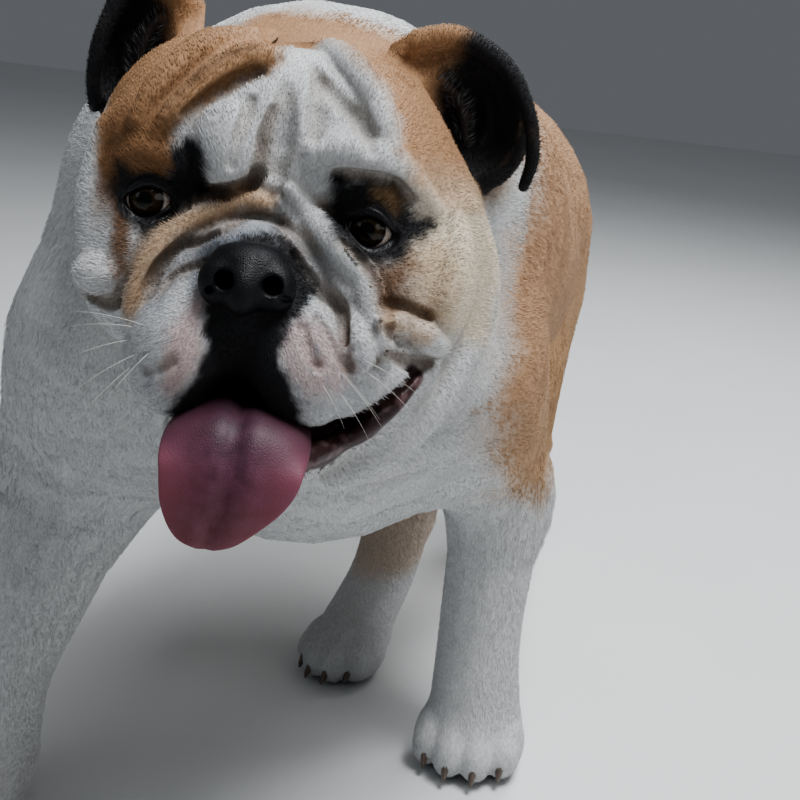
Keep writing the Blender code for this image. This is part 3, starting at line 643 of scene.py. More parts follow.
def on_head(points):
    """The face's share without the side of the neck behind the left cheek."""
    x, y, z = HEAD.local(points).T
    return face_share(points) * (1 - ramp(x + 0.6 * y, 134, 144) * (1 - ramp(z, 10, 30)))


def core_share(points):
    """1 on the front of the face, where the folds are, 0.6 on the ears and 0 elsewhere."""
    place = HEAD.local(points)
    x, y, z = place.T
    front = (1 - ramp(y, 26, 50)) * ramp(z, -128, -114)
    ears = ramp(np.abs(x), 52, 62) * (1 - ramp(y, 84, 92)) * ramp(z, 10, 24)
    return np.maximum(front, 0.6 * ears)


def thinned(obj, faces, kept=None):
    """The obj with about so many triangles, with those of the kept share thinned least."""
    thin = obj.modifiers.new("thin", "DECIMATE")
    if kept is not None:
        group = obj.vertex_groups.new(name="plain")
        level = np.rint(np.clip(1 - kept, 0, 1) * 4)
        for step in range(1, 5):
            group.add(np.flatnonzero(level == step).tolist(), step / 4, "REPLACE")
        thin.vertex_group = group.name
        thin.vertex_group_factor = 1
    thin.use_collapse_triangulate = True
    thin.ratio = min(faces / len(corners_of(obj)), 1)
    applied(obj)
    obj.vertex_groups.clear()


def subdivide_face(obj):
    """Cuts each triangle of the front of the face into four."""
    work = bmesh.new()
    work.from_mesh(obj.data)
    chosen = core_share(read(obj.data.vertices, "co")) > 0.7
    edges = [e for e in work.edges if chosen[e.verts[0].index] and chosen[e.verts[1].index]]
    bmesh.ops.subdivide_edges(work, edges=edges, cuts=1, use_grid_fill=True)
    bmesh.ops.triangulate(work, faces=work.faces)
    work.to_mesh(obj.data)
    work.free()


# How deep the skin lies under the tips of the coat, in millimetres
BODY_COAT, FACE_COAT = 0.9, 0.4


def settle(obj, rounds):
    """Moves the vertices along their normals to the coat's depth under the masses, over flat soles."""
    for _ in range(rounds):
        points = read(obj.data.vertices, "co")
        depth = (BODY_COAT - (BODY_COAT - FACE_COAT) * face_share(points)) * MM
        miss = np.clip(hide.exact(points) + depth, -MM, MM)
        points -= read(obj.data.vertex_normals, "vector") * miss[:, None]
        points[:, 2] = np.maximum(points[:, 2], 0)
        obj.data.vertices.foreach_set("co", points.ravel())
        obj.data.update()


ROUGH_TRIANGLES, SKIN_TRIANGLES = 125000, 192000
skin = new_mesh("skin", *largest_part(*hide.mesh()))
places = read(skin.data.vertices, "co")
thinned(skin, ROUGH_TRIANGLES, np.maximum(core_share(places), 0.6 * (1 - ramp(places[:, 2], 0.06, 0.09))))
subdivide_face(skin)
settle(skin, 3)
thinned(skin, SKIN_TRIANGLES)
settle(skin, 1)
skin.data.shade_smooth()
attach(skin, "root")
FLESH = [name for name in frame["nodes"] if name.split("_")[0] not in ("eye", "nose", "tongue")]
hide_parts(*FLESH)

# The markings. A white dog with a fawn saddle and forehead, black masks round both eyes and ears, black
# pigment from the nose to the lips, rusty stains under the eye and pink skin showing on the lips. Skin
# and coat are both coloured by paint(), which lays soft-edged zones drawn on the head's (x, z) over white.
WHITE = (0.56, 0.567, 0.57)
CREAM = (0.68, 0.60, 0.47)
FAWN = (0.36, 0.212, 0.115)
SADDLE = (0.44, 0.275, 0.165)
RUST = (0.19, 0.095, 0.042)
EAR_SKIN = (0.05, 0.034, 0.03)
CREASE_SHADE_UMBER = (0.2, 0.135, 0.085)
TAN = (0.47, 0.30, 0.16)
BLACK = (0.013, 0.013, 0.015)
GREY = (0.30, 0.31, 0.33)
SLATE = (0.20, 0.22, 0.25)
PINK = (0.60, 0.36, 0.33)
GUM = (0.045, 0.02, 0.022)
LIP_SKIN = (0.2, 0.12, 0.125)

FOREHEAD_LEFT = [
    (6, 110), (-2, 84), (2, 69), (-1, 64), (-15, 56), (-24, 49), (-32, 42), (-38, 36), (-41, 29), (-39, 19),
    (-42, 8), (-53, 4), (-63, 2), (-70, 6), (-76, 20), (-82, 45), (-86, 110),
]
FOREHEAD_RIGHT = [
    (6, 110), (13, 88), (31, 74), (44, 64), (50, 56), (54, 48), (57, 36), (65, 24), (71, 18), (80, 12),
    (92, 8), (106, 12), (118, 30), (124, 110),
]
BROWN_LEFT = [(-66, 17), (-60, 0), (-54, -9), (-52, -21), (-53, -32), (-58, -36), (-61, -22), (-64, -9)]
MASK_RIGHT = [
    (30, 22), (37, 21), (48, 22), (57, 22), (63, 17), (68, 10), (76, 7), (78, 5), (69, -3), (63, -11),
    (55, -13), (49, -12), (41, -8), (33, -3), (29, 3), (29, 14),
]
MASK_LEFT = [
    (-64, 15), (-56, 9), (-47, 9), (-41, 12), (-42, 19), (-40, 26), (-34, 29), (-27, 27), (-23, 18),
    (-22, 10), (-21, 6), (-29, 2), (-35, -4), (-42, -10), (-45, -16), (-50, -17), (-55, -10), (-60, -7),
    (-64, 3),
]
LID_SPOT = [(48, 18), (57, 19), (62, 14), (61, 9), (54, 10), (48, 14)]
BROW_SPOT = [(-52, 20), (-41, 21), (-39, 14), (-45, 11), (-53, 13)]
MUZZLE_BLACK = [
    (-12, -14), (-17, -22), (-15, -34), (-13, -49), (-11, -56), (-14, -66), (-26, -86),
    (-8, -98), (20, -98), (34, -86), (27, -68), (19, -55), (20, -44), (26, -35), (30, -28),
    (23, -19), (16, -10), (8, -5), (-4, -8),
]
PINK_LEFT = [(-16, -34), (-14, -49), (-12, -56), (-13, -62), (-17, -72), (-25, -78), (-28, -66), (-27, -50)]
PINK_RIGHT = [
    (24, -38), (19, -46), (18, -54), (24, -61), (34, -70), (46, -66), (50, -56), (44, -46), (34, -39),
]
CHIN_SPOTS = [(32, -96), (46, -94), (50, -98), (44, -106), (32, -108)]
STAIN = [(53, -15), (60, -13), (67, -8), (70, -13), (68, -22), (66, -29), (60, -31), (56, -28)]
ROLL_TAN = [(57, -31), (70, -33), (84, -40), (80, -45), (66, -41), (58, -38)]
CHEEK_TAN = [(66, -4), (82, 0), (92, -14), (90, -36), (78, -34), (66, -28)]
CREAM_RIGHT = [(74, 8), (88, 8), (112, 12), (112, -50), (84, -40), (76, -30), (72, -14)]
ROPE_TAN = [(2, 7), (-8, 6), (-15, 1), (-30, -6), (-36, -11), (-44, -23), (-46, -30), (-48, -45)]
NOSE_HAIR = [(-37, -38), (-34, -29), (-28, -20), (-20, -14), (-10, -8), (0, -4), (8, -3)]


def grain(points, size, seed=0):
    """Smooth noise from -1 to 1, in blobs of the given size in metres."""
    place = points / size + seed * 7.31
    cell = np.floor(place).astype(np.int64)
    share = place - cell
    share = share * share * (3 - 2 * share)
    total = 0
    for corner in itertools.product((0, 1), repeat=3):
        spot = cell + corner
        mixed = spot[:, 0] * 73856093 ^ spot[:, 1] * 19349663 ^ spot[:, 2] * 83492791
        mixed = (mixed ^ mixed >> 13) * 1274126177
        value = (mixed >> 7 & 1023) / 511.5 - 1
        total = total + value * np.prod(np.where(corner, share, 1 - share), axis=1)
    return total


def along(places, line):
    """How far (x, z) places lie from an open line."""
    px, pz = places.T
    nearest = np.full(len(places), np.inf)
    for (ax, az), (bx, bz) in zip(line, line[1:]):
        run_x, run_z = bx - ax, bz - az
        t = np.clip(((px - ax) * run_x + (pz - az) * run_z) / (run_x**2 + run_z**2), 0, 1)
        nearest = np.minimum(nearest, np.hypot(px - ax - t * run_x, pz - az - t * run_z))
    return nearest


def inside(places, outline):
    """How deep (x, z) places lie inside a closed outline; negative outside."""
    px, pz = places.T
    within = np.zeros(len(places), bool)
    closed = outline + outline[:1]
    for (ax, az), (bx, bz) in zip(closed, closed[1:]):
        if az != bz:
            crosses = (az > pz) != (bz > pz)
            within ^= crosses & (px < ax + (pz - az) * (bx - ax) / (bz - az))
    nearest = along(places, closed)
    return np.where(within, nearest, -nearest)


# Which of an ear's masses is the fold inside its cup
EAR_FOLD = 4
# The saddle's front edge on the left side as (z, y), in millimetres above and along the ground
SADDLE_EDGE = [
    (150, 10), (165, -4), (192, -37), (233, -96), (258, -111), (285, -98), (328, -74), (363, -64), (430, -20),
]


def paint(points):
    """The colour of skin and coat at each point, with painted shade along creases and on the flews."""
    place, ground = HEAD.local(points), WORLD.local(points)
    ragged = 2 * grain(points, 0.006) + 1.2 * grain(points, 0.002, 1)
    flat = place[:, [0, 2]]
    x_head, y_head, z_head = place.T
    front = on_head(points)
    colour = np.tile(np.array(WHITE), (len(points), 1))

    def lay(tint, weight):
        colour[:] = colour + (np.array(tint) - colour) * np.clip(weight, 0, 1)[:, None]

    def zone(tint, outline, soft=7, strength=1.0):
        deep = inside(flat, outline) + ragged
        lay(tint, strength * front * ramp(deep, -soft / 2, soft / 2))

    # The trunk: the saddle behind its front edge, down to the elbow, flank and hocks
    x, y, z = ground.T
    edge = np.interp(z, *zip(*SADDLE_EDGE))
    edge = np.where(x > 0, edge, edge + 45) + 1.5 * ragged
    keel = np.interp(y, [-30, 60, 180, 230, 300], [172, 205, 200, 70, 80]) + 2 * ragged
    outer = ramp(np.abs(x + 4), 20, 60) + ramp(z, 260, 300)
    saddle = ramp(y - edge, -4, 5) * ramp(z - keel, -8, 8) * np.clip(outer, 0, 1) * (1 - front)
    lay(SADDLE, saddle)
    lay(TAN, saddle * ramp(z, 300, 190) * 0.5)
    hock = ramp(y, 60, 100) * ramp(z, 52, 66) * (1 - ramp(z, 150, 210)) * (x < 30)
    lay(TAN, hock * 0.5)

    # The head: forehead, brown beside the left eye, cheeks, ropes and lips
    crown = ramp(y_head, 30, 60) * (1 - ramp(y_head + ragged, 92, 100)) * ramp(z_head, 30, 60)
    lay(FAWN, crown)
    zone(FAWN, FOREHEAD_LEFT, 7)
    zone(FAWN, FOREHEAD_RIGHT, 11)
    low_brow = front * ramp(-x_head, 34, 44) * (1 - ramp(-x_head, 70, 76)) * ramp(z_head, -20, 4)
    lay(RUST, low_brow * (1 - ramp(z_head, 22, 56)) * 0.8)
    lay(CREAM, front * ramp(x_head, 56, 70) * (1 - ramp(z_head, 2, 42)) * ramp(z_head, -30, -8) * 0.7)
    zone(CREAM, CREAM_RIGHT, 14, 0.85)
    zone(TAN, CHEEK_TAN, 16, 0.45)
    zone(RUST, BROWN_LEFT, 5, 0.9)
    lay(TAN, front * (1 - ramp(along(flat, ROPE_TAN) + ragged / 2, 1, 9)) * 0.8)
    lay(SLATE, front * (1 - ramp(along(flat, NOSE_HAIR) + ragged / 2, 2, 9)) * 0.5)
    lay(SLATE, front * (1 - ramp(np.hypot((x_head - 3) / 26, (z_head + 24) / 19), 0.8, 1.25)) * 0.85)
    # Painted shade along the grooves of the first creases, tinted brown like a stain
    for line, *_ in CREASES[:SHADED_AND_STAINED_CREASES]:
        lay(CREASE_SHADE_UMBER, front * (1 - ramp(along(flat, line) + ragged / 3, 0.3, 5.2)) * 0.4)
    zone(RUST, STAIN, 14, 0.9)
    zone(PINK, PINK_LEFT, 9, 0.6)
    zone(PINK, PINK_RIGHT, 11, 0.5)
    zone(TAN, ROLL_TAN, 8, 0.6)
    flew = front * (1 - ramp(np.hypot(np.abs(x_head - 2) - 30, z_head + 64), 24, 30))
    # Painted shade: the flews darkened a little all over; the grey spots after it are the skin's own mottle
    lay(SLATE, flew * 0.22)
    lay(GREY, flew * ramp(grain(points, 0.0035, 3), 0.42, 0.6) * 0.6)
    zone(BLACK, MUZZLE_BLACK, 5)
    zone(BLACK, MASK_RIGHT, 7)
    zone(BLACK, MASK_LEFT, 7)
    lay(GUM, front * ramp(inside(flat, CHIN_SPOTS), -2, 2) * ramp(grain(points, 0.003, 4), -0.1, 0.3))
    zone(TAN, LID_SPOT, 10, 0.5)
    zone(RUST, BROW_SPOT, 4, 0.8)

    # Black ears with brown roots, wet lids, the lip and the dark of the mouth
    for side, dark_from in (("left ear", (66, 78)), ("right ear", (54, 62))):
        root = np.abs(x_head) - 0.25 * (z_head - 60)
        ear = 1 - ramp(near(side, points) + ragged / 4, 0.5, 3)
        lay(BLACK, ear * ramp(root + ragged, *dark_from))
        inner = 1 - ramp(np.abs(parts[side][EAR_FOLD].distance(*points.T)) / MM, 1, 4)
        lay(EAR_SKIN, inner * ramp(grain(points, 0.012, 5), -0.5, 0.5) * 0.8)
    lay(BLACK, 1 - ramp(near("eyes", points), 0.4, 3.4))
    lay(GUM, 1 - ramp(near("mouth", points), 1, 3.5))
    lip = 1 - ramp(near("lip", points), 1, 3)
    lay(GUM, lip)
    lay(LIP_SKIN, lip * ramp(grain(points, 0.005, 8), 0.05, 0.5) * 0.6)
    lay(BLACK, (1 - ramp(z, 2, 5)) * 0.8)
    return colour


def hidden_share(points, normals):
    """0 on open surfaces, rising to 1 in the depth of creases."""
    reach = 6 * MM
    return 1 - np.clip((hide.exact(points + normals * reach) + 1.2 * MM) / reach, 0, 1)


def crease_shade_and_stain(colour, points, normals):
    """The colour darkened and browned in the depth of creases: painted shade, with some brown staining."""
    depth = (hidden_share(points, normals) * on_head(points))[:, None]
    return colour * (1 - depth * np.array((0.44, 0.52, 0.6)))


def bare_share(points):
    """1 where wet skin shows without hair: lids, lips and mouth."""
    bare = 1 - ramp(near("eyes", points), 0.3, 1.5)
    bare = np.maximum(bare, 1 - ramp(near("mouth", points), 1.5, 4))
    return np.maximum(bare, 1 - ramp(near("lip", points), 1.2, 3))


def give(obj, name, values):
    """Stores one number or colour for each vertex."""
    values = np.asarray(values)
    if values.ndim == 1:
        obj.data.attributes.new(name, "FLOAT", "POINT").data.foreach_set("value", values)
    else:
        values = np.column_stack([values, np.ones(len(values))])
        obj.data.attributes.new(name, "FLOAT_COLOR", "POINT").data.foreach_set("color", values.ravel())


class Finish:
    """A material whose nodes are made one by one, each fed as it is made."""

    def __init__(self, name, roughness=0.6, **fixed):
        self.material = bpy.data.materials.new(name)
        self.material.use_nodes = True
        self.tree = self.material.node_tree
        self.shader = self.tree.nodes["Principled BSDF"]
        self.shader.inputs["Roughness"].default_value = roughness
        for socket, value in fixed.items():
            self.shader.inputs[socket.replace("_", " ")].default_value = value

    def node(self, kind, feeds=None, settings=None, **values):
        node = self.tree.nodes.new("ShaderNode" + kind)
        for key, value in (settings or {}).items():
            setattr(node, key, value)
        for socket, value in (feeds or {}).items():
            self.tree.links.new(value, node.inputs[socket])
        for socket, value in values.items():
            node.inputs[socket.replace("_", " ")].default_value = value
        return node

    def attribute(self, name):
        return self.node("Attribute", settings={"attribute_name": name})

    def place(self, scale=(1, 1, 1)):
        """Object coordinates, stretched by the scale."""
        here = self.node("TexCoord").outputs["Object"]
        return self.node("Mapping", {"Vector": here}, Scale=scale).outputs["Vector"]

    def noise(self, vector, size):
        """Noise in blobs of the given size in metres."""
        return self.node("TexNoise", {"Vector": vector}, Scale=1 / size, Detail=3).outputs["Fac"]

    def mixed(self, share, first, second, mode="MIX"):
        node = self.node("Mix", settings={"data_type": "RGBA", "blend_type": mode})
        for socket, value in ((0, share), (6, first), (7, second)):
            if isinstance(value, bpy.types.NodeSocket):
                self.tree.links.new(value, node.inputs[socket])
            else:
                node.inputs[socket].default_value = value
        return node.outputs[2]

    def mapped(self, value, low, high, start=0, stop=1):
        feeds = {"Value": value}
        limits = {"From_Min": low, "From_Max": high, "To_Min": start, "To_Max": stop}
        return self.node("MapRange", feeds, **limits).outputs["Result"]

    def into(self, socket, value):
        self.tree.links.new(value, self.shader.inputs[socket])

    def bump(self, height, depth, strength):
        """Raises the surface by height times depth in metres."""
        node = self.node("Bump", {"Height": height}, Distance=depth, Strength=strength)
        self.into("Normal", node.outputs["Normal"])


points = read(skin.data.vertices, "co")
# The skin's colour, with painted shade and some brown staining in the depth of its creases
give(skin, "tint", crease_shade_and_stain(paint(points), points, read(skin.data.vertex_normals, "vector")))
give(skin, "bare", bare_share(points))
shorthair = Finish("short coat", Specular_IOR_Level=0.3)
tint = shorthair.attribute("tint").outputs["Color"]
streaks = shorthair.noise(shorthair.place((1, 0.25, 0.6)), 0.0011)
shade = shorthair.mapped(streaks, 0.3, 0.7, 0.78, 1.1)
shorthair.into("Base Color", shorthair.mixed(1, tint, shade, "MULTIPLY"))
bare = shorthair.attribute("bare").outputs["Fac"]
shorthair.into("Roughness", shorthair.mapped(bare, 0, 1, 0.72, 0.38))
shorthair.bump(streaks, 0.0006, 0.6)
skin.data.materials.append(shorthair.material)

# The eyes. Each is a wet ball deep between its lids, with a wide dark brown iris round a black pupil and
# a pale rim of white where it turns away; the clear front bulges a little.
IRIS_RADIUS = 7.8
PUPIL_RADIUS = 3.4
CORNEA_RADIUS, CORNEA_AHEAD = 8.6, 4.6
RINGS, SIDES = 40, 48
GAZE = {"eye_left": (-0.10, -1, 0.02), "eye_right": (-0.08, -1, 0.02)}


def circle(sides):
    return np.arange(sides) * 2 * math.pi / sides


def eyeball(name, side):
    """A ball whose pole looks where the dog looks, with the angle from its pole kept as rings."""
    gaze = unit(HEAD_TURN @ np.array(GAZE[name]))
    across = unit(np.cross(gaze, (0, 0, 1)))
    rise = np.cross(across, gaze)
    centre = HEAD.point(eye_place(side))
    rings, away = [], []
    turn = circle(SIDES)
    for angle in np.linspace(0.02, math.pi - 0.02, RINGS):
        reach = CORNEA_RADIUS**2 - (CORNEA_AHEAD * math.sin(angle)) ** 2
        cornea = CORNEA_AHEAD * math.cos(angle) + math.sqrt(reach)
        radius = max(EYE_RADIUS, cornea) * MM
        out = np.outer(np.cos(turn), across) + np.outer(np.sin(turn), rise)
        rings.append(centre + radius * (math.cos(angle) * gaze + math.sin(angle) * out))
        away += [math.sin(angle) * radius / MM if angle < math.pi / 2 else 20] * SIDES
    ball = closed_loft(name + "_ball", rings)
    give(ball, "away", np.array(away + [0, 20]))
    return ball


def closed_loft(name, rings):
    """A closed skin through rings of points, with a point at the middle of each end."""
    rings = np.array(rings)
    count, sides = rings.shape[:2]
    points = np.vstack([rings.reshape(-1, 3), rings[0].mean(0), rings[-1].mean(0)])
    i, j = np.meshgrid(np.arange(count - 1), np.arange(sides), indexing="ij")
    a, b = i * sides + j, i * sides + (j + 1) % sides
    walls = np.stack([a, b, b + sides, a, b + sides, a + sides], -1).reshape(-1, 3)
    j = np.arange(sides)
    start = np.column_stack([np.full(sides, count * sides), (j + 1) % sides, j])
    last = (count - 1) * sides
    end = np.column_stack([np.full(sides, count * sides + 1), last + j, last + (j + 1) % sides])
    faces = np.vstack([walls, start, end])
    a, b, c = (points[faces[:, i]] for i in range(3))
    if (a * np.cross(b - a, c - a)).sum() < 0:
        faces = faces[:, ::-1]
    return new_mesh(name, points, faces)


wet = Finish("eye", 0.08, Specular_IOR_Level=0.2, Coat_Weight=0.2, Coat_Roughness=0.02)
away = wet.attribute("away").outputs["Fac"]
here = wet.place()
vein = wet.mapped(wet.noise(here, 0.0012), 0.5, 0.7)
veins = wet.mixed(vein, (0.62, 0.56, 0.5, 1), (0.42, 0.2, 0.17, 1))
fibres = wet.noise(here, 0.0009)
brown = wet.mixed(fibres, (0.006, 0.004, 0.002, 1), (0.045, 0.028, 0.012, 1))
limbus = wet.mixed(wet.mapped(away, IRIS_RADIUS - 1.6, IRIS_RADIUS - 0.2), brown, (0.004, 0.003, 0.003, 1))
iris = wet.mixed(wet.mapped(away, PUPIL_RADIUS - 0.2, PUPIL_RADIUS + 0.3), (0.001, 0.001, 0.001, 1), limbus)
wet.into("Base Color", wet.mixed(wet.mapped(away, IRIS_RADIUS - 0.1, IRIS_RADIUS + 0.5), iris, veins))
for name, side in (("eye_left", 1), ("eye_right", -1)):
    ball = eyeball(name, side)
    ball.data.materials.append(wet.material)
    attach(ball, "root")
    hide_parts(name)

# The nose leather, a broad black pad laid back between the folds, with deep nostrils that run out to
# slits, a groove down its middle and a pebbled, slightly wet surface.
NOSE_STEP = 0.7 * MM


def nose_masses(clay):
    """The leather: a broad pad laid back towards the stop, with wings round the nostrils."""
    lump(clay, (1.5, -42, -26), (18.5, 15, 13), 0)
    lump(clay, (1.5, -40, -18), (15, 13, 7.5), 6)
    for side in (-1, 1):
        lump(clay, (2 + side * 12, -47, -28), (8.5, 9.5, 10), 4)
    lump(clay, (1, -51, -30), (8, 10, 11), 4)
    for side in (-1, 1):
        line = [(3 + side * 9.5, -62, -27), (3 + side * 10, -52, -26), (3 + side * 9, -42, -26)]
        clay.press(Rope(line, [4, 4, 3.6], HEAD), 2)
        slit = [(3 + side * 11, -60, -29), (3 + side * 15, -55, -31), (3 + side * 18, -48, -31)]
        clay.press(Rope(slit, [2.4, 1.7, 0.6], HEAD), 1.5)
    clay.press(Rope([(1, -63, -22), (1, -64, -44)], [0.8, 1.8], HEAD), 2)


corners = np.array([HEAD.point(place) for place in itertools.product((-30, 34), (-75, -15), (-50, 5))])
leather_clay = Clay(corners.min(0) - 0.006, corners.max(0) + 0.006, NOSE_STEP)
nose_masses(leather_clay)
nose = new_mesh("nose_leather", *largest_part(*leather_clay.mesh()))
nose.data.shade_smooth()
leather = Finish("nose leather", 0.5, Specular_IOR_Level=0.28)
here = leather.place()
pebbles = leather.node("TexVoronoi", {"Vector": here}, Scale=1300, Randomness=0.9).outputs["Distance"]
patches = leather.noise(here, 0.006)
leather.into("Base Color", leather.mixed(patches, (0.0025, 0.003, 0.004, 1), (0.008, 0.009, 0.0115, 1)))
leather.into("Roughness", leather.mapped(leather.noise(here, 0.004), 0.3, 0.7, 0.4, 0.6))
leather.bump(pebbles, -0.0003, 0.6)
nose.data.materials.append(leather.material)
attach(nose, "root")
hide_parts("nose")

# The tongue, a thick wet blade that hangs over the lower lip; it is darker and bluish along the groove,
# redder at the edges, and rough with papillae.
TONGUE_X = 6
TONGUE_SIDES, TONGUE_STEPS = 64, 10
TONGUE = [
    (20, -84, 22, 5), (-10, -83, 27, 6), (-38, -84, 30, 6.5), (-58, -89, 31, 6.5), (-66, -101, 30, 6),
    (-68, -114, 26.5, 5), (-67, -125, 20, 4.4), (-66, -133, 12.5, 3.4), (-65.5, -137, 4, 1.6),
]


def tongue_blade():
    """Rings along the blade, each flattened, with a groove on top and a soft wave down its length."""
    stations = np.array(TONGUE, float)
    line, half = smooth_path(stations[:, :3], stations[:, 3], TONGUE_STEPS)
    runs = np.gradient(line[:, :2], axis=0)
    rings, middle, depth = [], [], []
    turn = circle(TONGUE_SIDES)
    for (y, z, wide), thick, (dy, dz) in zip(line, half, runs):
        length = math.hypot(dy, dz)
        wide = max(wide, 0.8)
        across = wide * np.cos(turn)
        rise = max(thick, 0.8) * np.sin(turn) * (1 - 0.25 * np.cos(turn) ** 2)
        top = np.sin(turn) > 0
        groove = 1.9 * np.exp(-((across / 3.2) ** 2))
        banks = 0.8 * np.exp(-(((np.abs(across) - 9) / 6) ** 2))
        rise -= top * (groove - banks)
        droop = 0.26 * (1 - ramp(-z, 88, 104)) - 0.07
        rise -= droop * wide * np.cos(turn) ** 4
        across = across - 7 * ramp(-z, 104, 138)
        up_y, up_z = dz / length, -dy / length
        rings.append([HEAD.point((TONGUE_X + a, y + r * up_y, z + r * up_z)) for a, r in zip(across, rise)])
        middle += list(np.abs(wide * np.cos(turn)))
        depth += [z] * TONGUE_SIDES
    blade = closed_loft("tongue_blade", rings)
    give(blade, "middle", np.array(middle + [0, 0]))
    give(blade, "height", np.array(depth + [depth[0], depth[-1]]))
    blade.data.shade_smooth()
    return blade


tongue = tongue_blade()
flesh = Finish("tongue", 0.52, Specular_IOR_Level=0.35, Coat_Weight=0.04, Coat_Roughness=0.4)
here = flesh.place()
edge = flesh.mapped(flesh.attribute("middle").outputs["Fac"], 6, 29)
low = flesh.mapped(flesh.attribute("height").outputs["Fac"], -96, -134)
centre = flesh.mixed(low, (0.075, 0.03, 0.052, 1), (0.14, 0.034, 0.046, 1))
rim = flesh.mixed(low, (0.24, 0.082, 0.12, 1), (0.27, 0.058, 0.072, 1))
rose = flesh.mixed(edge, centre, rim)
blotch = flesh.mapped(flesh.noise(here, 0.006), 0.35, 0.75, 0, 0.5)
rose = flesh.mixed(blotch, rose, (0.22, 0.08, 0.13, 1))
# Painted shade: the tongue darkens towards its top, where the lips hang over it
shade_under_lips = flesh.mapped(flesh.attribute("height").outputs["Fac"], -104, -80)
flesh.into("Base Color", flesh.mixed(shade_under_lips, rose, (0.035, 0.014, 0.022, 1)))
papillae = flesh.node("TexVoronoi", {"Vector": here}, Scale=1500).outputs["Distance"]
flesh.bump(papillae, -0.00025, 0.5)
tongue.data.materials.append(flesh.material)
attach(tongue, "root")
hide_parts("tongue")

# The claws, short and curved, four to a foot and worn blunt on the ground, of dark horn with paler bands.
# Each grows from the end of a toe and is a closed loft of rings that points forward and down.
CLAW_SIDES = 12
CLAW = [(-8, 18, 4, 0.1), (0, 16.5, 4, 0.4), (5, 13, 3.4, 0.8), (9, 8.5, 2.2, 1.1), (10.5, 6, 0.8, 1.3)]


def claw_rings(place, heading, half_width, share):
    foot = paw_frame(place, heading)
    side = share * (half_width - 11)
    front = toe_front(share) - 2.5
    turn = circle(CLAW_SIDES)
    rings = []
    for ahead, z, radius, lean in CLAW:
        across, rise = radius * 0.75 * np.cos(turn), radius * np.sin(turn)
        ring = zip(side + across, front - ahead - rise * math.sin(lean), z + rise * math.cos(lean))
        rings.append([foot.point(point) for point in ring])
    return rings


horn = Finish("claw horn", 0.35, Specular_IOR_Level=0.5)
bands = horn.noise(horn.place((1, 1, 0.3)), 0.003)
horn.into("Base Color", horn.mixed(bands, (0.04, 0.032, 0.028, 1), (0.17, 0.13, 0.105, 1)))
for foot, (place, heading, half_width) in PAWS.items():
    for number, share in enumerate(TOES):
        rings = claw_rings(place, heading, half_width, share)
        claw = closed_loft(f"claw {foot} {number}".replace(" ", "_"), rings)
        claw.data.shade_smooth()
        claw.data.materials.append(horn.material)
        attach(claw, "root")

# The coat. Short hair that lies flat, as solid tufts a hair's breadth to half a millimetre wide, each a
# root, a ring of three corners and a tip. They start on the skin, follow its lie and carry its markings.
TUFTS = 245000
TUFTS_A_PIECE = 29500
ROOT_DEPTH = 0.35
HAIR_SEED = 7
rng = np.random.default_rng(HAIR_SEED)


def lie_of_coat(points, normals):
    """Which way the hair lies: back from the nose over the head and trunk, and down the legs."""
    place, ground = HEAD.local(points), WORLD.local(points)
    from_nose = place - np.array((2, -30, -30))
    from_nose[:, 1] += 14
    over_head = unit(from_nose @ HEAD_TURN.T)
    down = 1 - ramp(ground[:, 2], 160, 250)
    chest = ramp(-ground[:, 1], 60, 130) * (1 - ramp(ground[:, 2], 300, 380))
    down = np.maximum(down, chest * 0.8)[:, None]
    body = np.array((0, 1, -0.35)) * (1 - down) + np.array((0, 0.15, -1)) * down
    toes = (1 - ramp(ground[:, 2], 26, 44))[:, None]
    body = body * (1 - toes) + np.array((0, -0.8, -0.6)) * toes
    share = face_share(points)[:, None]
    lie = over_head * share + body * (1 - share)
    swirl = np.stack([grain(points, 0.03, seed) for seed in (11, 12, 13)], 1) * 0.3
    lie = lie + swirl + rng.normal(0, 0.12, points.shape)
    lie -= normals * (lie * normals).sum(1)[:, None]
    return unit(lie)


def hair_length(points):
    """Millimetres of hair: shortest on muzzle, ears and feet, longest on the neck and rump."""
    place, ground = HEAD.local(points), WORLD.local(points)
    length = 3.6 + 2.2 * ramp(ground[:, 2], 40, 200)
    length = np.where(ground[:, 2] < 40, 3.2, length)
    face = face_share(points)
    muzzle = 1 - ramp(np.linalg.norm(place - (2, -40, -35), axis=1), 35, 75)
    length = length * (1 - face) + face * (3.6 - 1.4 * muzzle)
    ears = np.minimum(near("left ear", points), near("right ear", points))
    return np.where(ears < 2, 2.8, length)


def roots_on_skin(count):
    """Evenly strewn places on the skin, closer together where the hair is short."""
    corners = corners_of(skin)
    places = read(skin.data.vertices, "co")
    normals = read(skin.data.vertex_normals, "vector")
    a, b, c = (places[corners[:, i]] for i in range(3))
    middle = (a + b + c) / 3
    area = np.linalg.norm(np.cross(b - a, c - a), axis=1) / 2
    wanted = area * (1 - bare_share(middle)) * (7 / hair_length(middle)) ** 1.4
    wanted[leather_clay.exact(middle) < 0.0002] = 0
    total = np.cumsum(wanted)
    spots = (np.arange(count) + rng.random(count)) / count * total[-1]
    face = np.minimum(np.searchsorted(total, spots), len(corners) - 1)
    u, v = rng.random((2, count))
    u, v = np.where(u + v > 1, 1 - u, u), np.where(u + v > 1, 1 - v, v)
    shares = np.stack([1 - u - v, u, v], 1)[:, :, None]
    root = (places[corners[face]] * shares).sum(1)
    normal = (normals[corners[face]] * shares).sum(1)
    return root, unit(normal)


# The faces of one tuft: its root is 0, its ring 1 to 3 (left, right, top) and its tip 4
TUFT_FACES = np.array([(1, 3, 4), (3, 2, 4), (2, 1, 4), (3, 1, 0), (2, 3, 0), (1, 2, 0)])
# How light a tuft is at each of its points: painted shade, darkest at the root deep in the coat and lightest
# at the tip
TUFT_SHADES = np.array([0.82, 0.96, 0.96, 1, 1.05])[:, None]
TUFT_PATCH = 0.0015 * np.array([(0, -1), (1, -0.3), (-1, -0.3), (0, 0), (0, 1)])


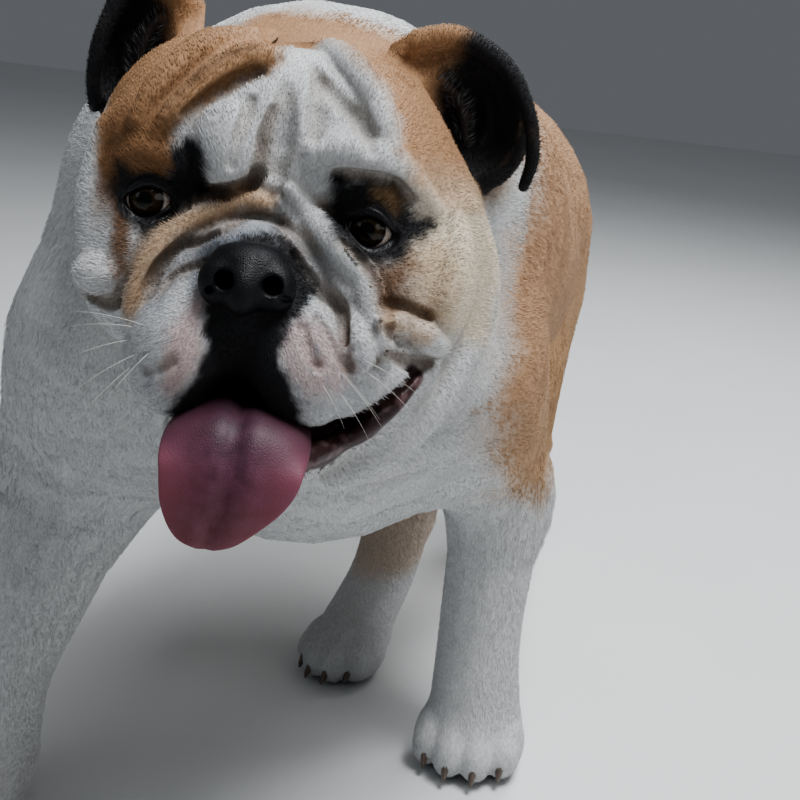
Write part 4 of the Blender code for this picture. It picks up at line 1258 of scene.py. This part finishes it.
def tuft_points(root, normal, lie, length, width, lift):
    """Five points for each tuft: it rises from the skin, bends at its ring and lies down."""
    side = np.cross(normal, lie)
    length, width, lift = (values[:, None] * MM for values in (length, width, lift))
    ring = root + lie * length * 0.38 + normal * lift * 0.7
    points = [
        root - normal * ROOT_DEPTH * MM,
        ring + side * width / 2,
        ring - side * width / 2,
        ring + normal * width * 0.35,
        root + lie * length + normal * lift,
    ]
    return np.stack(points, 1)


def unwrapped_places(root):
    """Where each root lies on a flat unwrap of the skin's own shape."""
    model = skin.copy()
    model.data = skin.data.copy()
    bpy.context.scene.collection.objects.link(model)
    coarse = model.modifiers.new("coarse", "DECIMATE")
    coarse.ratio = 0.05
    applied(model)
    for other in bpy.context.view_layer.objects:
        other.select_set(other == model)
    bpy.context.view_layer.objects.active = model
    bpy.ops.object.mode_set(mode="EDIT")
    bpy.ops.mesh.select_all(action="SELECT")
    bpy.ops.uv.smart_project(angle_limit=math.radians(66), island_margin=0.004)
    bpy.ops.object.mode_set(mode="OBJECT")
    mesh = model.data
    mesh.calc_loop_triangles()
    corners = read(mesh.loop_triangles, "vertices").astype(int)
    loops = read(mesh.loop_triangles, "loops").astype(int)
    flat = read(mesh.uv_layers.active.data, "uv", 2)[loops]
    places = read(mesh.vertices, "co")
    tree = BVHTree.FromPolygons(places.tolist(), corners.tolist())
    found = np.array([tree.find_nearest(point)[2] for point in root.tolist()])
    a, b, c = (places[corners[found, i]] for i in range(3))
    ab, ac, ap = b - a, c - a, root - a
    bb, bc, cc = (ab * ab).sum(1), (ab * ac).sum(1), (ac * ac).sum(1)
    pb, pc = (ap * ab).sum(1), (ap * ac).sum(1)
    scale = np.maximum(bb * cc - bc * bc, 1e-18)
    v = np.clip((cc * pb - bc * pc) / scale, 0, 1)
    w = np.clip((bb * pc - bc * pb) / scale, 0, 1)
    w = np.minimum(w, 1 - v)
    uv = flat[found, 0] * (1 - v - w)[:, None] + flat[found, 1] * v[:, None] + flat[found, 2] * w[:, None]
    bpy.data.objects.remove(model)
    return np.clip(uv, 0.002, 0.998)


root, normal = roots_on_skin(TUFTS)
length = hair_length(root) * rng.uniform(0.75, 1.2, TUFTS)
lie = lie_of_coat(root, normal)
length *= 1 - 0.5 * hidden_share(root, normal)
width = (0.2 + 0.05 * length) * rng.uniform(0.7, 1.2, TUFTS)
lift = (0.2 + 0.06 * length) * rng.uniform(0.5, 1.5, TUFTS)
in_ear = np.zeros(TUFTS, bool)
for side in ("left ear", "right ear"):
    inner_fold = parts[side][EAR_FOLD]
    in_ear |= (np.abs(inner_fold.distance(*root.T)) < 1.5 * MM) & (rng.random(TUFTS) < 0.5)
length[in_ear] *= 2.2
lift[in_ear] += 1.5
# The coat's colour, with the same painted shade and staining in the creases
tint = crease_shade_and_stain(paint(root), root, normal)
tint[in_ear] = np.array(GREY) * rng.uniform(0.1, 0.7, (in_ear.sum(), 1))
tint *= (1 + 0.12 * grain(root, 0.004, 5) + rng.normal(0, 0.07, TUFTS))[:, None]
unwrapped = unwrapped_places(root)
strands = tuft_points(root, normal, lie, length, width, lift)
strands[:, :, 2] = np.maximum(strands[:, :, 2], 0.0002)
hair = Finish("coat hair", 0.62, Specular_IOR_Level=0.25)
hair.into("Base Color", hair.attribute("tint").outputs["Color"])
order = np.argsort(root[:, 1])
for number, start in enumerate(range(0, TUFTS, TUFTS_A_PIECE)):
    chosen = order[start:start + TUFTS_A_PIECE]
    faces = (np.arange(len(chosen))[:, None, None] * 5 + TUFT_FACES).reshape(-1, 3)
    piece = new_mesh(f"coat_{number}", strands[chosen].reshape(-1, 3), faces)
    shades = np.clip(tint[chosen], 0.002, 0.95)[:, None, :] * TUFT_SHADES
    give(piece, "tint", np.clip(shades, 0, 1).reshape(-1, 3))
    patches = unwrapped[chosen][:, None, :] + TUFT_PATCH
    layer = piece.data.uv_layers.new(name="OFBake")
    layer.data.foreach_set("uv", patches.reshape(-1, 2)[faces.ravel()].ravel())
    piece.data.polygons.foreach_set("use_smooth", np.zeros(len(faces), bool))
    piece.data.materials.append(hair.material)
    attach(piece, "root")

# The whiskers, stiff pale hairs that taper from the flews outwards and down. Each is rooted in the
# upper lip and is a thin closed loft of rings that bends with its weight.
WHISKERS = [
    ((-44, -52), (-26, -4, 2)), ((-46, -58), (-24, -6, -6)), ((-40, -62), (-24, -10, -14)),
    ((-38, -50), (-30, -8, 8)), ((-42, -68), (-18, -8, -18)), ((44, -58), (20, -10, -12)),
    ((48, -62), (18, -6, -13)), ((52, -52), (26, -4, -6)), ((46, -68), (15, -10, -12)),
    ((56, -58), (22, -2, -10)), ((-34, -60), (-14, -14, -16)), ((38, -64), (12, -14, -10)),
]
WHISKER_RADIUS = 0.17
WHISKER_SIDES, WHISKER_RINGS = 5, 9


def whisker_rings(place, reach):
    """Rings along a hair that bends down and thins to its tip."""
    start = np.array(hide.face_point(*place, sink=1))
    rings = []
    turn = circle(WHISKER_SIDES)
    for share in np.linspace(0, 1, WHISKER_RINGS):
        centre = start + np.array(reach) * share + np.array((0, 0, -5)) * share**2
        radius = WHISKER_RADIUS * (1 - 0.8 * share)
        across = np.cross(reach, (0, 1, 0)) / np.linalg.norm(reach)
        around = np.outer(np.cos(turn), across) + np.outer(np.sin(turn), (0, 1, 0))
        rings.append([HEAD.point(centre + radius * out) for out in around])
    return rings


bristle = Finish("whisker", 0.4)
streaks = bristle.noise(bristle.place(), 0.01)
bristle.into("Base Color", bristle.mixed(streaks, (0.6, 0.58, 0.52, 1), (0.75, 0.74, 0.7, 1)))
for number, (place, reach) in enumerate(WHISKERS):
    whisker = closed_loft(f"whisker_{number}", whisker_rings(place, reach))
    whisker.data.materials.append(bristle.material)
    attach(whisker, "root")

# The camera stands in front of the dog at the height of its back, looking down at the face. Its place
# puts the middle of the left forepaw on its spot in the picture.
CAMERA_HEIGHT = 465
CAMERA_TURN, CAMERA_DIP, CAMERA_ROLL = 15, 17, 5.3
SEEN_POINT = (470, 752)
SEEN_PLACE = (105, 0, 0)
FOCUS, PICTURE_SIZE = 1400, 800


def view_axes():
    a, p, q = (math.radians(angle) for angle in (CAMERA_TURN, CAMERA_DIP, CAMERA_ROLL))
    right = np.array([math.cos(a), math.sin(a), 0])
    ahead = np.array([-math.sin(a) * math.cos(p), math.cos(a) * math.cos(p), -math.sin(p)])
    up = np.array([-math.sin(a) * math.sin(p), math.cos(a) * math.sin(p), math.cos(p)])
    return right * math.cos(q) + up * math.sin(q), up * math.cos(q) - right * math.sin(q), ahead


right, up, ahead = view_axes()
aside, below = ((pixel - PICTURE_SIZE / 2) / FOCUS for pixel in SEEN_POINT)
ray = ahead + right * aside - up * below
spot = (np.array(SEEN_PLACE) + SHIFT) * MM + ray * CAMERA_HEIGHT * MM / ray[2]
lens = bpy.data.cameras.new("camera")
lens.sensor_width = 36
lens.lens = FOCUS * lens.sensor_width / PICTURE_SIZE
lens.clip_start = 0.01
camera = bpy.data.objects.new("camera", lens)
rows = np.column_stack([right, up, -ahead])
camera.matrix_world = Matrix([(*row, place) for row, place in zip(rows, spot)] + [(0, 0, 0, 1)])
bpy.context.scene.collection.objects.link(camera)
bpy.context.scene.camera = camera

# The pale floor and the soft light of a studio: one wide bank above the dog, one behind it, and
# weaker ones at both sides in front.
FLOOR_EDGE = 4
floor_corners = [(x * FLOOR_EDGE, y * FLOOR_EDGE, 0) for x, y in ((-1, -1), (1, -1), (1, 1), (-1, 1))]
floor = new_mesh("floor", floor_corners, [(0, 1, 2, 3)])
ground = Finish("floor", 0.9)
clouds = ground.noise(ground.place(), 0.2)
ground.into("Base Color", ground.mixed(clouds, (0.70, 0.71, 0.71, 1), (0.76, 0.77, 0.77, 1)))
floor.data.materials.append(ground.material)


def area_light(name, place, target, size, power, colour):
    data = bpy.data.lights.new(name, "AREA")
    data.shape = "DISK"
    data.size = size
    data.energy = power
    data.color = colour
    light = bpy.data.objects.new(name, data)
    light.location = place
    light.rotation_euler = (Vector(target) - Vector(place)).to_track_quat("-Z", "Y").to_euler()
    bpy.context.scene.collection.objects.link(light)


area_light("sky", (0.5, -0.25, 1.8), (0.02, -0.15, 0.3), 0.8, 32, (0.97, 0.98, 1))
area_light("back", (0.3, 1.2, 1.5), (0, 0, 0.3), 0.9, 16, (0.95, 0.98, 1))
area_light("left bank", (1.5, -0.6, 1.0), (0, 0, 0.28), 0.9, 3, (1, 0.98, 0.95))
area_light("right bank", (-1.3, -1.2, 1.0), (0, -0.1, 0.28), 0.8, 1.4, (0.95, 0.98, 1))
world = bpy.data.worlds.new("studio")
world.use_nodes = True
world.node_tree.nodes["Background"].inputs["Color"].default_value = (0.8, 0.84, 0.9, 1)
world.node_tree.nodes["Background"].inputs["Strength"].default_value = 0.15
bpy.context.scene.world = world
bpy.context.scene.view_settings.look = "AgX - Medium High Contrast"
